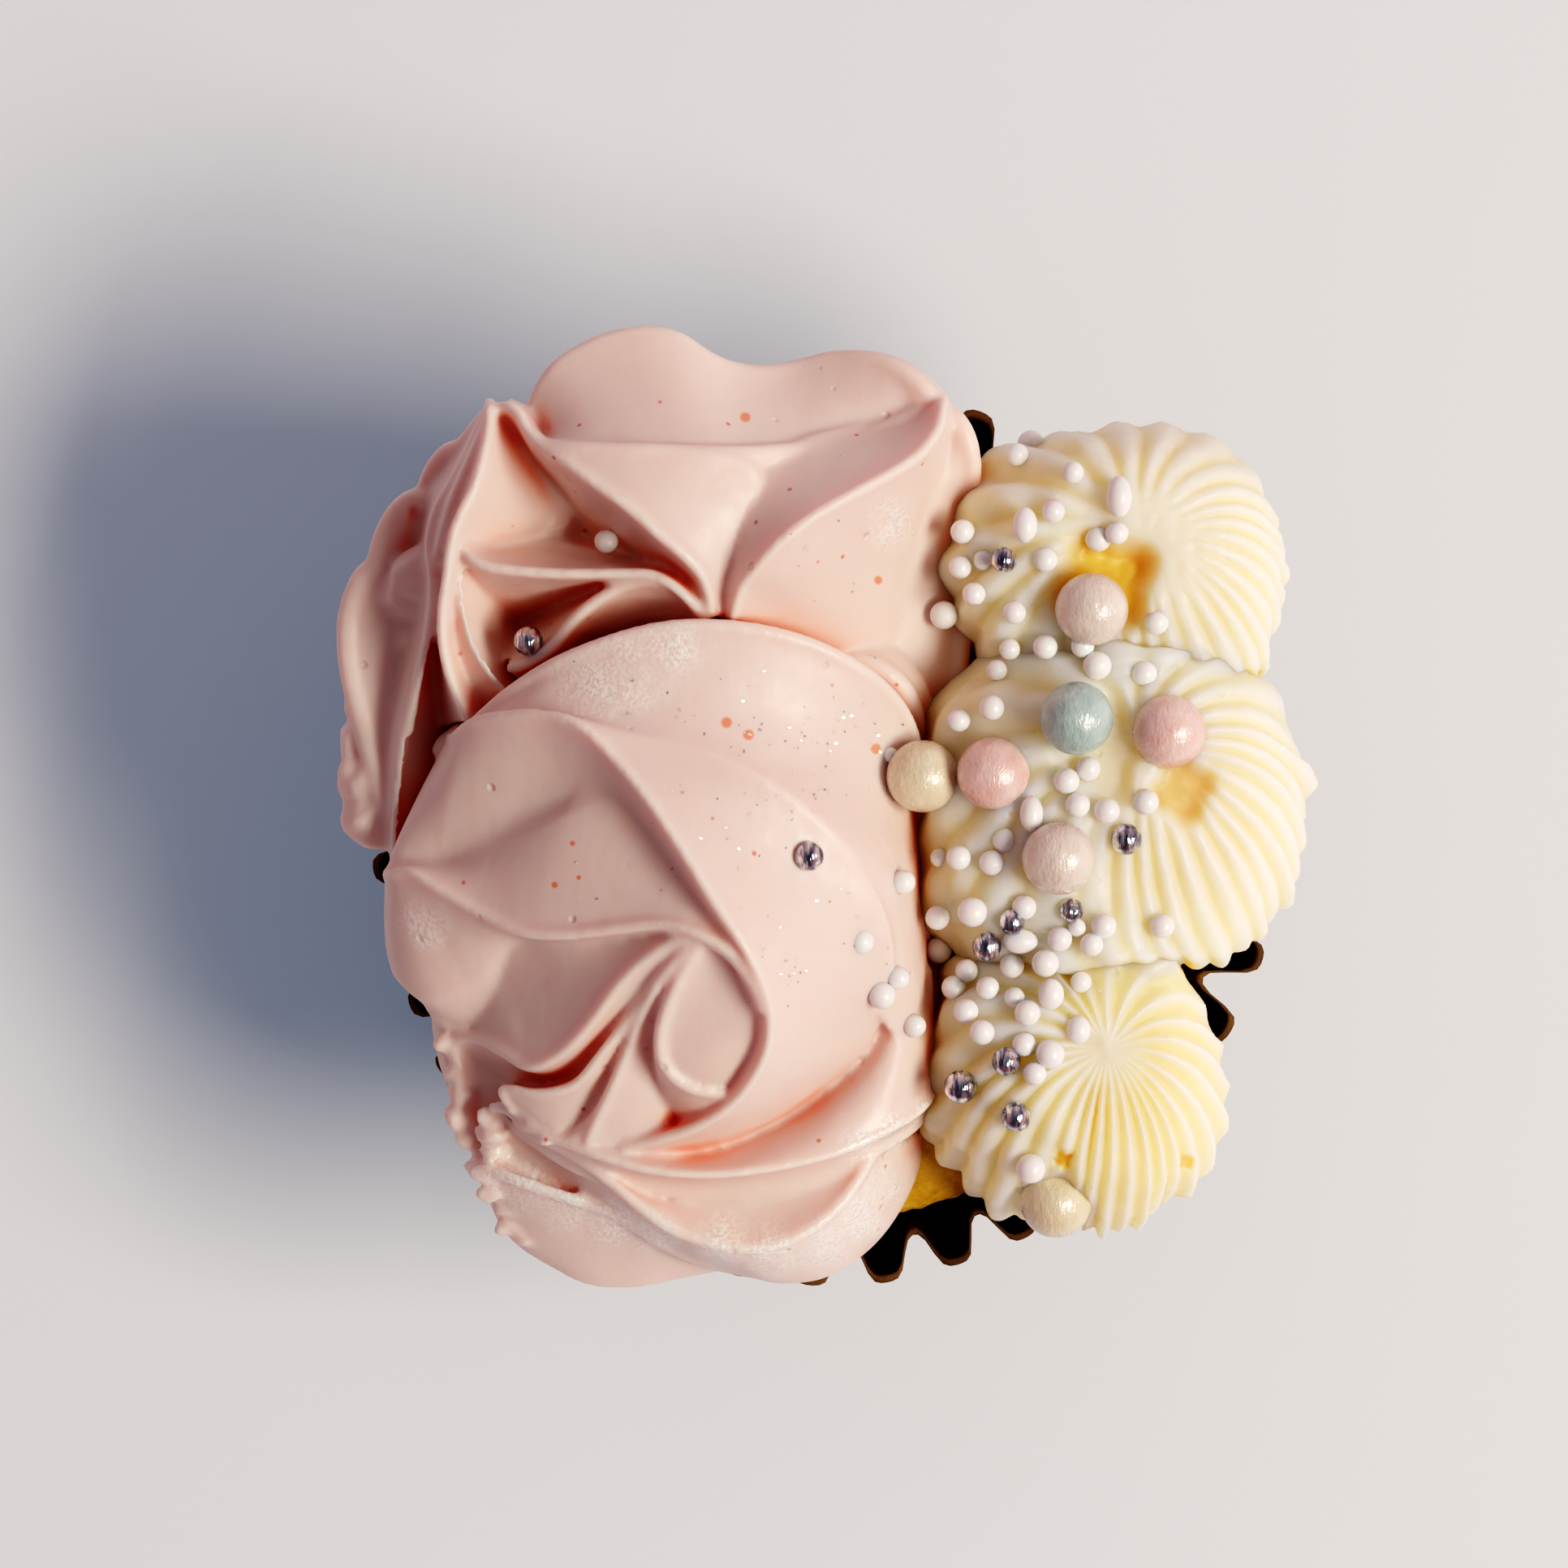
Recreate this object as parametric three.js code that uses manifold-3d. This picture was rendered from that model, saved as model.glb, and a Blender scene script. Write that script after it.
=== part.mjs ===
// A decorated cupcake: a sponge in a fluted paper case, topped with two large pink
// buttercream rosettes, three small yellow star drops and seven sugar pearls.
// Millimetres, +Z up. The origin is the middle of the case's base, on the table.
import * as THREE from "three";
import { mergeVertices } from "three/addons/utils/BufferGeometryUtils.js";
import Module from "manifold-3d";

const wasm = await Module();
wasm.setup();

// Driving dimensions.
const GAP = 0.3; // free space kept between neighbouring pieces
const CASE = {
  baseRadius: 25,
  rimRadius: 33.3, // at the middle of the flutes
  height: 36.5,
  flutes: 38,
  fluteDepthBase: 0.5, // crest to middle of a flute
  fluteDepthRim: 2.3,
  wall: 0.6,
  stepsPerFlute: 4,
};
const SPONGE = {
  sideGap: 0.5,
  topRadius: 30,
  edgeHeight: 35.5,
  domeRise: 7.5,
  segments: 44,
};
const ICING_BASE = CASE.height + 0.5; // underside of the icing where it hangs over the case
const PEARL_RADIUS = 2.8;

const PINK = 0xf0c9be;
const YELLOW = 0xf3e3b0;

// Each mound of icing: the middle of its foot, the half widths along X and Y, the height above
// ICING_BASE, how far the crown leans from the foot's middle, the number of folds that the
// nozzle leaves, how deep they are, how far they turn from the foot to the middle, and how
// deep the hollow in the crown is, as a share of the height.
const ROSETTE = { folds: 8, foldDepth: 0.16, segments: 48, levels: 12, color: PINK };
const STAR = { folds: 28, foldDepth: 0.05, segments: 56, levels: 7, color: YELLOW };
const MOUNDS = {
  pink_rosette_front: {
    ...ROSETTE,
    middle: [-12, -9],
    halfWidths: [20.8, 23.4],
    height: 28.5,
    lean: [2.5, -4],
    turn: -2.3,
    hollow: 0.42,
  },
  pink_rosette_back: {
    ...ROSETTE,
    middle: [-12.4, 19.8],
    halfWidths: [23, 18.6],
    height: 26.5,
    lean: [-1, -3],
    turn: 1.9,
    hollow: 0.46,
  },
  yellow_star_middle: {
    ...STAR,
    middle: [22.3, 3.4],
    halfWidths: [15, 12.4],
    height: 17.5,
    lean: [2.5, 2.2],
    turn: 0.7,
    hollow: 0.1,
  },
  yellow_star_back: {
    ...STAR,
    middle: [22.2, 21.8],
    halfWidths: [14, 10.8],
    height: 16.5,
    lean: [2.8, 2.2],
    turn: 0.3,
    hollow: 0.06,
  },
  yellow_star_front: {
    ...STAR,
    middle: [19.4, -18.7],
    halfWidths: [11.7, 11],
    height: 15.5,
    lean: [2, 3.3],
    turn: 0.2,
    hollow: 0,
  },
};

// Where each sugar pearl lies on the icing, seen from above, the share of it that is pressed
// in, and its colour.
const PEARLS = {
  pearl_white_back: { at: [20.4, 18.2], sunk: 0.3, color: 0xe6dcd8 },
  pearl_blue: { at: [19.1, 9.8], sunk: 0.25, color: 0xb9d2cf },
  pearl_pink_right: { at: [26.3, 8.8], sunk: 0.45, color: 0xe3b9b4 },
  pearl_pink_left: { at: [12.9, 5.6], sunk: 0.25, color: 0xe8c3bd },
  pearl_cream_left: { at: [7.5, 5.4], sunk: 0.25, color: 0xe5dcb9 },
  pearl_white_middle: { at: [17.8, -0.9], sunk: 0.25, color: 0xe2d8d2 },
  pearl_cream_front: { at: [18, -27.8], sunk: 0.4, color: 0xead9b4 },
};

// A closed three.js geometry as a manifold-3d solid, and back.
function solidOf(geometry) {
  const bare = geometry.index ? geometry.toNonIndexed() : geometry.clone();
  bare.deleteAttribute("normal");
  bare.deleteAttribute("uv");
  const merged = mergeVertices(bare, 1e-3);
  return new wasm.Manifold(
    new wasm.Mesh({
      numProp: 3,
      vertProperties: merged.attributes.position.array,
      triVerts: new Uint32Array(merged.index.array),
    }),
  );
}

function geometryOf(solid) {
  const mesh = solid.getMesh();
  const geometry = new THREE.BufferGeometry();
  geometry.setAttribute("position", new THREE.BufferAttribute(mesh.vertProperties, 3));
  geometry.setIndex(new THREE.BufferAttribute(mesh.triVerts, 1));
  return geometry;
}

// A profile of (radius, height) points turned about +Z. shape(radius, angle, height, level)
// then gives each vertex its own x, y and z.
function turned(profile, segments, shape = upright) {
  const geometry = new THREE.LatheGeometry(profile, segments);
  geometry.rotateX(Math.PI / 2);
  const position = geometry.attributes.position;
  for (let i = 0; i < position.count; i++) {
    const level = i % profile.length;
    const step = Math.floor(i / profile.length) % segments;
    const angle = (step / segments) * 2 * Math.PI;
    position.setXYZ(i, ...shape(profile[level].x, angle, profile[level].y, level));
  }
  return geometry;
}

function upright(radius, angle, height) {
  return [radius * Math.cos(angle), radius * Math.sin(angle), height];
}

// The fluted paper case: a thin wall whose flutes open out from the base to the rim.
function paperCase() {
  const { baseRadius, rimRadius, height, wall } = CASE;
  const middleRadius = (baseRadius + rimRadius) / 2;
  const profile = [
    new THREE.Vector2(0, 0),
    new THREE.Vector2(baseRadius, 0),
    new THREE.Vector2(middleRadius, height / 2),
    new THREE.Vector2(rimRadius, height),
    new THREE.Vector2(rimRadius - wall, height),
    new THREE.Vector2(middleRadius - wall, height / 2),
    new THREE.Vector2(baseRadius - wall, wall),
    new THREE.Vector2(0, wall),
  ];
  return turned(profile, CASE.flutes * CASE.stepsPerFlute, (radius, angle, z) => {
    const share = z / height;
    const depth = THREE.MathUtils.lerp(CASE.fluteDepthBase, CASE.fluteDepthRim, share);
    const fluted = radius === 0 ? 0 : radius + depth * Math.cos(CASE.flutes * angle);
    return upright(fluted, angle, z);
  });
}

// The sponge fills the case and rises in a low dome above it. grow adds to every side.
function sponge(grow = 0) {
  const baseRadius = CASE.baseRadius - CASE.wall - CASE.fluteDepthBase - SPONGE.sideGap;
  const { topRadius, edgeHeight, domeRise } = SPONGE;
  const profile = [
    new THREE.Vector2(0, CASE.wall + GAP - grow),
    new THREE.Vector2(baseRadius + grow, CASE.wall + GAP - grow),
  ];
  for (const share of [1, 0.93, 0.78, 0.55, 0.28, 0]) {
    const height = edgeHeight + domeRise * (1 - share * share);
    profile.push(new THREE.Vector2(share * (topRadius + grow), height + grow));
  }
  return turned(profile, SPONGE.segments);
}

// How far a fold stands out: 1 on its sharp crest, -1 in the round valley between two.
function foldWave(phase) {
  return 1 - 2 * Math.abs(Math.sin(phase / 2));
}

// A piped mound: a bulging side, a crown and a hollow in the middle. Its folds turn about the
// crown, and the mesh turns with them, so that each crest runs along one column of vertices.
function mound(spec, grow = 0) {
  const { halfWidths, height, lean, folds, foldDepth, turn, hollow, segments, levels } = spec;
  const side = new THREE.SplineCurve([
    new THREE.Vector2(0.86, 0),
    new THREE.Vector2(0.99, 0.22),
    new THREE.Vector2(0.93, 0.55),
    new THREE.Vector2(0.7, 0.88),
    new THREE.Vector2(0.45, 1),
    new THREE.Vector2(0.22, 1 - hollow * 0.6),
    new THREE.Vector2(0, 1 - hollow),
  ]).getSpacedPoints(levels);
  const profile = [new THREE.Vector2(0, 0), ...side];
  const geometry = turned(profile, segments, (share, column, up, level) => {
    const inward = Math.max(0, level - 1) / levels;
    const wave = foldWave(folds * column);
    const angle = column + turn * inward * inward;
    const ellipse = Math.hypot(Math.cos(angle) / halfWidths[0], Math.sin(angle) / halfWidths[1]);
    const radius = share === 0 ? 0 : (share / ellipse) * (1 + foldDepth * wave) + grow;
    const rise = level < 2 ? -grow : up * height + grow;
    const crest = level < 2 ? 0 : Math.sin(Math.PI * inward) * foldDepth * wave * 0.5 * height;
    const [x, y, z] = upright(radius, angle, rise + crest);
    return [x + lean[0] * inward, y + lean[1] * inward, z];
  });
  geometry.translate(spec.middle[0], spec.middle[1], ICING_BASE);
  return solidOf(geometry);
}

// The height of the icing's surface over a point of the plan.
const skins = Object.values(MOUNDS).map((spec) => new THREE.Mesh(geometryOf(mound(spec))));

function icingHeight(x, y) {
  const above = new THREE.Vector3(x, y, 2 * ICING_BASE);
  const ray = new THREE.Raycaster(above, new THREE.Vector3(0, 0, -1));
  return ray.intersectObjects(skins)[0].point.z;
}

function pearl({ at: [x, y], sunk }, grow = 0) {
  const geometry = new THREE.IcosahedronGeometry(PEARL_RADIUS + grow, 1);
  geometry.translate(x, y, icingHeight(x, y) + PEARL_RADIUS * (1 - 2 * sunk));
  return solidOf(geometry);
}

const group = new THREE.Group();

function add(name, geometry, color, roughness, metalness = 0) {
  const material = new THREE.MeshStandardMaterial({ color, roughness, metalness });
  const mesh = new THREE.Mesh(geometry, material);
  mesh.name = name;
  group.add(mesh);
}

add("paper_case", paperCase(), 0x2c1a0c, 0.75);
add("sponge", sponge(), 0xd9a93f, 0.9);

// Each mound is pressed against those piped before it, so it is cut by all that lie over it.
const cutters = Object.values(PEARLS).map((spec) => pearl(spec, GAP));
cutters.push(solidOf(sponge(GAP)));
for (const [name, spec] of Object.entries(MOUNDS)) {
  let icing = mound(spec);
  for (const cutter of cutters) icing = icing.subtract(cutter);
  const body = icing.decompose().sort((a, b) => b.volume() - a.volume())[0];
  add(name, geometryOf(body), spec.color, 0.45);
  cutters.push(mound(spec, GAP));
}

for (const [name, spec] of Object.entries(PEARLS)) {
  add(name, geometryOf(pearl(spec)), spec.color, 0.25);
}

export default group;
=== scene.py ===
import math
import random

import bmesh
import bpy
import numpy as np
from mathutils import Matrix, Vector, noise
from mathutils.bvhtree import BVHTree


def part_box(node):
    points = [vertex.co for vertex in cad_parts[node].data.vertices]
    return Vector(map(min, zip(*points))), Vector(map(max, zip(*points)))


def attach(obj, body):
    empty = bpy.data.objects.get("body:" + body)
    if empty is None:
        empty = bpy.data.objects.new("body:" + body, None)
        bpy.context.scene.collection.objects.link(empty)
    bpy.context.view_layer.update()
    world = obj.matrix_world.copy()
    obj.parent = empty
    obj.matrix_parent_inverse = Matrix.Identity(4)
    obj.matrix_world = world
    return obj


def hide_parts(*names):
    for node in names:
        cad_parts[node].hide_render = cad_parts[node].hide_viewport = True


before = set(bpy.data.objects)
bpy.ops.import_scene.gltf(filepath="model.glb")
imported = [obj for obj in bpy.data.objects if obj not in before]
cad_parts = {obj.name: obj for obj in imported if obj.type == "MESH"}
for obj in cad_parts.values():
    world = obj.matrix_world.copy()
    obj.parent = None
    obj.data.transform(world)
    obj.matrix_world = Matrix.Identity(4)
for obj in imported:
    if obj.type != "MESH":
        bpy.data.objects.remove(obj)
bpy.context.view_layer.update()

MM = 0.001
LUMP_SEED = 4  # the lumps of the knobs of icing are drawn from it
noise.seed_set(LUMP_SEED)

# The camera looks straight down. Places on the icing are given as they lie in its square
# frame, in units of which there are FRAME_SIDE to a side, with their height in millimetres.
FRAME_SIDE = 1932
FOCAL_UNITS = 6368
CAMERA_AT = (-3.2, 4.8, 450)  # millimetres
SENSOR = 36

FOOT = 37  # the height of the icing's underside, where it hangs over the case


def seen(across, down, height):
    """The point, in millimetres, that lies at that height under a place in the frame."""
    units_per_mm = FOCAL_UNITS / (CAMERA_AT[2] - height)
    middle = FRAME_SIDE / 2
    x = CAMERA_AT[0] + (across - middle) / units_per_mm
    y = CAMERA_AT[1] - (down - middle) / units_per_mm
    return (x, y, height)


# Curves

CURVE_STEPS = 16  # between two given points


def spline_points(p0, p1, p2, p3, shares):
    """Points of a centripetal Catmull-Rom curve between p1 and p2."""
    t0 = 0.0
    t1 = t0 + max(np.linalg.norm(p1 - p0), 1e-6) ** 0.5
    t2 = t1 + max(np.linalg.norm(p2 - p1), 1e-6) ** 0.5
    t3 = t2 + max(np.linalg.norm(p3 - p2), 1e-6) ** 0.5
    t = (t1 + shares * (t2 - t1))[:, None]
    a1 = (t1 - t) / (t1 - t0) * p0 + (t - t0) / (t1 - t0) * p1
    a2 = (t2 - t) / (t2 - t1) * p1 + (t - t1) / (t2 - t1) * p2
    a3 = (t3 - t) / (t3 - t2) * p2 + (t - t2) / (t3 - t2) * p3
    b1 = (t2 - t) / (t2 - t0) * a1 + (t - t0) / (t2 - t0) * a2
    b2 = (t3 - t) / (t3 - t1) * a2 + (t - t1) / (t3 - t1) * a3
    return (t2 - t) / (t2 - t1) * b1 + (t - t1) / (t2 - t1) * b2


def smooth_path(points, count):
    """count points at equal distances along a smooth curve through the given ones."""
    given = np.array(points, float)
    padded = np.vstack([2 * given[0] - given[1], given, 2 * given[-1] - given[-2]])
    shares = np.linspace(0, 1, CURVE_STEPS, endpoint=False)
    spans = zip(padded, padded[1:], padded[2:], padded[3:])
    dense = np.vstack([spline_points(*span, shares) for span in spans] + [given[-1:]])
    travelled = np.concatenate([[0], np.cumsum(np.linalg.norm(np.diff(dense, axis=0), axis=1))])
    stops = np.linspace(0, travelled[-1], count)
    return np.stack([np.interp(stops, travelled, dense[:, axis]) for axis in range(3)], axis=1)


def path_length(points):
    return float(np.linalg.norm(np.diff(np.array(points, float), axis=0), axis=1).sum())


def unit(vectors):
    return vectors / np.maximum(np.linalg.norm(vectors, axis=-1, keepdims=True), 1e-9)


def smoothstep(low, high, value):
    share = np.clip((value - low) / (high - low), 0, 1)
    return share * share * (3 - 2 * share)


def spread(values, count):
    """One number, or several at equal steps, as a column of count numbers."""
    given = np.atleast_1d(np.array(values, float))
    return np.interp(np.linspace(0, 1, count), np.linspace(0, 1, len(given)), given)[:, None]


# Meshes

def new_piece(name, bm, material, smooth=True):
    """A finished mesh object at the origin, from a bmesh in metres."""
    mesh = bpy.data.meshes.new(name)
    bm.to_mesh(mesh)
    bm.free()
    piece = bpy.data.objects.new(name, mesh)
    bpy.context.scene.collection.objects.link(piece)
    mesh.materials.append(material)
    if smooth:
        mesh.shade_smooth()
    return piece


def mount(piece, slot, *nodes):
    """The piece rides on the part and stands for its nodes, whose parts are hidden; slot is not used.
    """
    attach(piece, "root")
    if nodes:
        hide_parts(*nodes)


def closed_tube(bm, rings, marks=None):
    """A closed skin through rings of points, in mm: rings is (stations, points round, 3).
    marks gives the points further numbers by name, each (stations, points round)."""
    layers = {name: bm.verts.layers.float.new(name) for name in marks or {}}
    stations, around = rings.shape[:2]
    made = bmesh.ops.create_grid(bm, x_segments=around, y_segments=stations - 1, size=1)
    for vert in made["verts"]:
        column = round((vert.co.x + 1) / 2 * around) % around
        row = round((vert.co.y + 1) / 2 * (stations - 1))
        vert.co = Vector(rings[row, column]) * MM
        for name, layer in layers.items():
            vert[layer] = marks[name][row, column]
    bmesh.ops.remove_doubles(bm, verts=made["verts"], dist=1e-7)
    kept = [v for v in made["verts"] if v.is_valid]
    rim = [e for e in {e for v in kept for e in v.link_edges} if e.is_boundary]
    bmesh.ops.holes_fill(bm, edges=rim, sides=0)


def turned_piece(name, rings, material, marks=None):
    """A piece with a closed skin through rings of points, its faces outward."""
    bm = bmesh.new()
    closed_tube(bm, rings, marks)
    bmesh.ops.recalc_face_normals(bm, faces=bm.faces)
    return new_piece(name, bm, material)


def evaluated(piece):
    return piece.evaluated_get(bpy.context.evaluated_depsgraph_get())


def read_all(items, title, width, kind=float):
    """One property of all the items of a mesh, as rows of numbers."""
    flat = np.empty(len(items) * width, kind)
    items.foreach_get(title, flat)
    return flat.reshape(-1, width)


def evened(values, edges, rounds):
    """Values at vertices, averaged again and again with those of their neighbours."""
    one, other = edges.T
    count = len(values)
    links = np.bincount(one, minlength=count) + np.bincount(other, minlength=count)
    for _ in range(rounds):
        columns = []
        for column in values.reshape(count, -1).T:
            total = np.bincount(one, column[other], count) + np.bincount(other, column[one], count)
            columns.append((column + total) / (links + 1))
        values = np.stack(columns, axis=1).reshape(values.shape)
    return values


def mark(mesh, name, values):
    attribute = mesh.attributes.new(name, "FLOAT", "POINT")
    attribute.data.foreach_set("value", values.astype(np.float32))


def joined_tree(meshes):
    """One search tree over all the faces of several meshes."""
    points = []
    faces = []
    for mesh in meshes:
        start = len(points)
        points += read_all(mesh.vertices, "co", 3).tolist()
        faces += [[start + index for index in polygon.vertices] for polygon in mesh.polygons]
    return BVHTree.FromPolygons(points, faces)


# Piped folds

STATION = 0.5  # millimetres between the sections of a fold
TIP_ANGLES = np.linspace(90, -90, 7)
SIDE_SHARES = np.linspace(0, 1, 11)[1:] ** 1.5
ROOT_DEPTH = 0.5  # how far a fold's inside reaches towards its heart
TOOTH_LEAN = 0.3
# How far out, as shares, a crest and a flank start on the side of their mound.
CREST_REACH = (0.9, 1.0)
FLANK_REACH = (0.82, 0.93)


def piped_fold(bm, heart, crest, feet, tip=0.45, bow=(2.0, 2.0), under=2.2, torn=0.0):
    """One fold of icing: a thin rounded crest, with a scooped face down to a foot on each side.
    The crest and the two feet are lists of places, which run the same way. bow is how hollow
    the two faces are, where 1 is straight, under how far the fold reaches past its feet, and
    torn how far the crest is torn into teeth."""
    stations = max(12, round(path_length([seen(*p) for p in crest]) / STATION))
    top, *feet = (smooth_path([seen(*p) for p in points], stations) for points in (crest, *feet))
    along = unit(np.gradient(top, axis=0))
    outward = unit(top - np.array(heart))
    outward = unit(outward - along * np.sum(outward * along, axis=1, keepdims=True))
    side = unit(np.cross(along, outward))
    if torn:
        top = top + teeth(stations, torn) * (outward + side * TOOTH_LEAN)
    faces = []
    for foot, hollow in zip(feet, bow):
        away = side if np.sum((foot - top) * side) > 0 else -side
        rows = scooped_face(top, foot, away, outward, tip, spread(hollow, stations), under)
        faces.append((np.sum(away * side), rows))
    (_, left_rows), (_, right_rows) = sorted(faces, key=lambda face: face[0])
    root = top + (np.array(heart) - top) * ROOT_DEPTH
    rows = [root] + right_rows[::-1]
    for angle in np.radians(TIP_ANGLES):
        rows.append(top + tip * (side * math.sin(angle) + outward * (math.cos(angle) - 1)))
    closed_tube(bm, np.stack(rows + left_rows, axis=1))


def scooped_face(top, foot, side, outward, tip, bow, under):
    """The rows of points from just below a crest down to a foot, and then past it."""
    start = top + tip * (side - outward)
    reach = foot - start
    fall = np.sum(reach * outward, axis=1, keepdims=True)
    across = reach - fall * outward
    rows = []
    for share in SIDE_SHARES:
        rows.append(start + across * share + outward * fall * (1 - (1 - share) ** bow))
    beyond = unit(across) - outward * under
    rows.append(foot + beyond)
    return rows


def teeth(stations, depth):
    """A ragged edge, as where icing tears off the nozzle: a column of distances."""
    draw = random.Random(stations)
    cuts = [draw.uniform(-1, 0.4) for _ in range(max(4, stations // 3))]
    return spread(cuts, stations) * depth


def down_the_side(places, middle, reach):
    """The same places after two more, where the fold runs up the side of its mound."""
    across, down, height = places[0]
    extra = []
    for share, out in zip((0.0, 0.5), reach):
        extra.append((middle[0] + (across - middle[0]) * out,
                      middle[1] + (down - middle[1]) * out, FOOT + (height - FOOT) * share))
    return extra + places


def core(bm, heart, half_widths, rise):
    """A low dome inside a mound, below its folds' feet."""
    made = bmesh.ops.create_uvsphere(bm, u_segments=48, v_segments=24, radius=1)
    for vert in made["verts"]:
        vert.co.x = (heart[0] + vert.co.x * half_widths[0]) * MM
        vert.co.y = (heart[1] + vert.co.y * half_widths[1]) * MM
        vert.co.z = (FOOT + max(vert.co.z, 0) ** 0.6 * rise) * MM


FUSE_GRAIN = 0.27  # millimetres
SOFTEN_ROUNDS = 6


def fused(name, bm, material):
    """The overlapping solids in a bmesh run together into one skin, and its edges softened."""
    piece = new_piece(name, bm, material)
    remesh = piece.modifiers.new("fuse", "REMESH")
    remesh.mode = "VOXEL"
    remesh.voxel_size = FUSE_GRAIN * MM
    soften = piece.modifiers.new("soften", "SMOOTH")
    soften.factor = 0.5
    soften.iterations = SOFTEN_ROUNDS
    baked = bpy.data.meshes.new_from_object(evaluated(piece))
    piece.modifiers.clear()
    piece.data = baked
    baked.name = name
    baked.shade_smooth()
    return piece


# Pink rosettes

FRONT_MIDDLE = (850, 1240)
FRONT_HEART = (-10.5, -12, 22)
BACK_MIDDLE = (800, 740)
BACK_HEART = (-13.5, 19.5, 22)
KNOB_STRETCH = (1.5, 1.1, 0.9)
KNOB_LUMPS = 1.3  # millimetres
KNOB_RAGGED = 0.6  # millimetres


def at_foot(*places):
    return [(across, down, FOOT) for across, down in places]


def ball(bm, middle, radius, fineness, stretch=(1, 1, 1)):
    made = bmesh.ops.create_icosphere(bm, subdivisions=fineness, radius=radius * MM)
    bmesh.ops.scale(bm, verts=made["verts"], vec=stretch)
    bmesh.ops.translate(bm, verts=made["verts"], vec=Vector(middle) * MM)
    return made["verts"]


class Rosette:
    """A mound of piped folds that run together towards its heart."""

    def __init__(self, heart, middle):
        self.bm = bmesh.new()
        self.heart = heart
        self.middle = middle

    def fold(self, crest, one_foot, other_foot, **looks):
        piped_fold(self.bm, self.heart, crest, (one_foot, other_foot), **looks)

    def steep(self, crest, one_foot, other_foot, **looks):
        """A fold that starts lower, on the side of the mound."""
        self.fold(down_the_side(crest, self.middle, CREST_REACH),
                  down_the_side(one_foot, self.middle, FLANK_REACH),
                  down_the_side(other_foot, self.middle, FLANK_REACH), **looks)

    def knob(self, across, down, height, radius):
        """A lump that fills a gap, or that hangs on a torn edge."""
        for vert in ball(self.bm, seen(across, down, height), radius, 3, KNOB_STRETCH):
            vert.co += noise.noise_vector(vert.co / (KNOB_LUMPS * MM)) * KNOB_RAGGED * MM

    def thicken(self, lip, radius, count):
        """A row of balls inside a lip that is too thin to hold together."""
        for middle in smooth_path([seen(*place) for place in lip], count):
            ball(self.bm, middle, radius, 2)

    def finished(self, name, material, half_widths, rise):
        core(self.bm, self.heart, half_widths, rise)
        return fused(name, self.bm, material)


# Feet that two folds of the front rosette share.
LIP_STEP = [
    (560, 905, 50.5), (640, 880, 54.5), (720, 888, 57.5), (800, 903, 58.8), (880, 930, 59.4),
    (950, 965, 59.4), (1010, 1010, 58.3), (1055, 1060, 56.8), (1080, 1120, 55), (1090, 1180, 53.3),
    (1080, 1245, 51.5)]
SCOOP = [
    (478, 1065, 45), (550, 1062, 48), (600, 1048, 50.8), (650, 1026, 53.4), (700, 1002, 55.6),
    (750, 988, 57), (800, 1035, 58.2), (850, 1097, 59.5), (890, 1150, 60.5), (925, 1195, 60.6),
    (941, 1232, 60)]
BELOW_SECOND = [
    (520, 1235, 43), (570, 1268, 43.8), (606, 1228, 47), (637, 1163, 50.4), (690, 1160, 53.4),
    (760, 1155, 56), (820, 1150, 58.5), (870, 1165, 60), (905, 1190, 60), (925, 1230, 57.5),
    (928, 1262, 55)]
BELOW_THIRD = [
    (600, 1322, 41.5), (625, 1340, 43.4), (660, 1344, 45.4), (703, 1330, 48.4), (735, 1301, 51),
    (760, 1262, 53.6), (790, 1217, 56.4), (830, 1180, 59), (865, 1165, 60.3)]
CREVICE = [
    (665, 1415, 49.4), (690, 1402, 49.2), (714, 1388, 49.2), (730, 1368, 49.7), (745, 1340, 50.4),
    (757, 1312, 51.5), (770, 1280, 53.2), (782, 1243, 55.4), (804, 1208, 57.4), (838, 1176, 59.3)]


def front_rosette(material):
    """The rosette that lies over the other."""
    rosette = Rosette(FRONT_HEART, FRONT_MIDDLE)
    front_lip(rosette)
    front_rim(rosette)
    front_second_and_third(rosette)
    front_petals(rosette)
    front_heart_petal(rosette)
    front_band(rosette)
    front_outer_fold(rosette)
    front_skirt(rosette)
    front_torn_end(rosette)
    rosette.knob(598, 925, 44.6, 2.6)
    return rosette.finished("pink_rosette_front_icing", material, half_widths=(21, 21), rise=8.5)


def front_lip(rosette):
    """The broad lip over the other rosette, with a soft step above it."""
    lip = [
        (560, 905, 50), (628, 845, 53), (700, 803, 56), (830, 766, 58), (970, 778, 57),
        (1080, 830, 53.5), (1128, 890, 49.5), (1145, 1000, 45.5), (1155, 1150, 43.5),
        (1160, 1290, 42.5), (1156, 1370, 42)]
    below = [
        (560, 895, 46), (640, 850, 46), (700, 815, 46), (830, 780, 46), (970, 790, 46), (1075, 845, 45),
        (1120, 905, 42), (1150, 1000, 38), (1160, 1150, 37), (1160, 1290, 37), (1150, 1370, 37)]
    rosette.fold(lip, below, LIP_STEP, tip=0.6, bow=(1.5, (1.3, 1.4, 1.6, 1.9, 1.9)))


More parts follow.
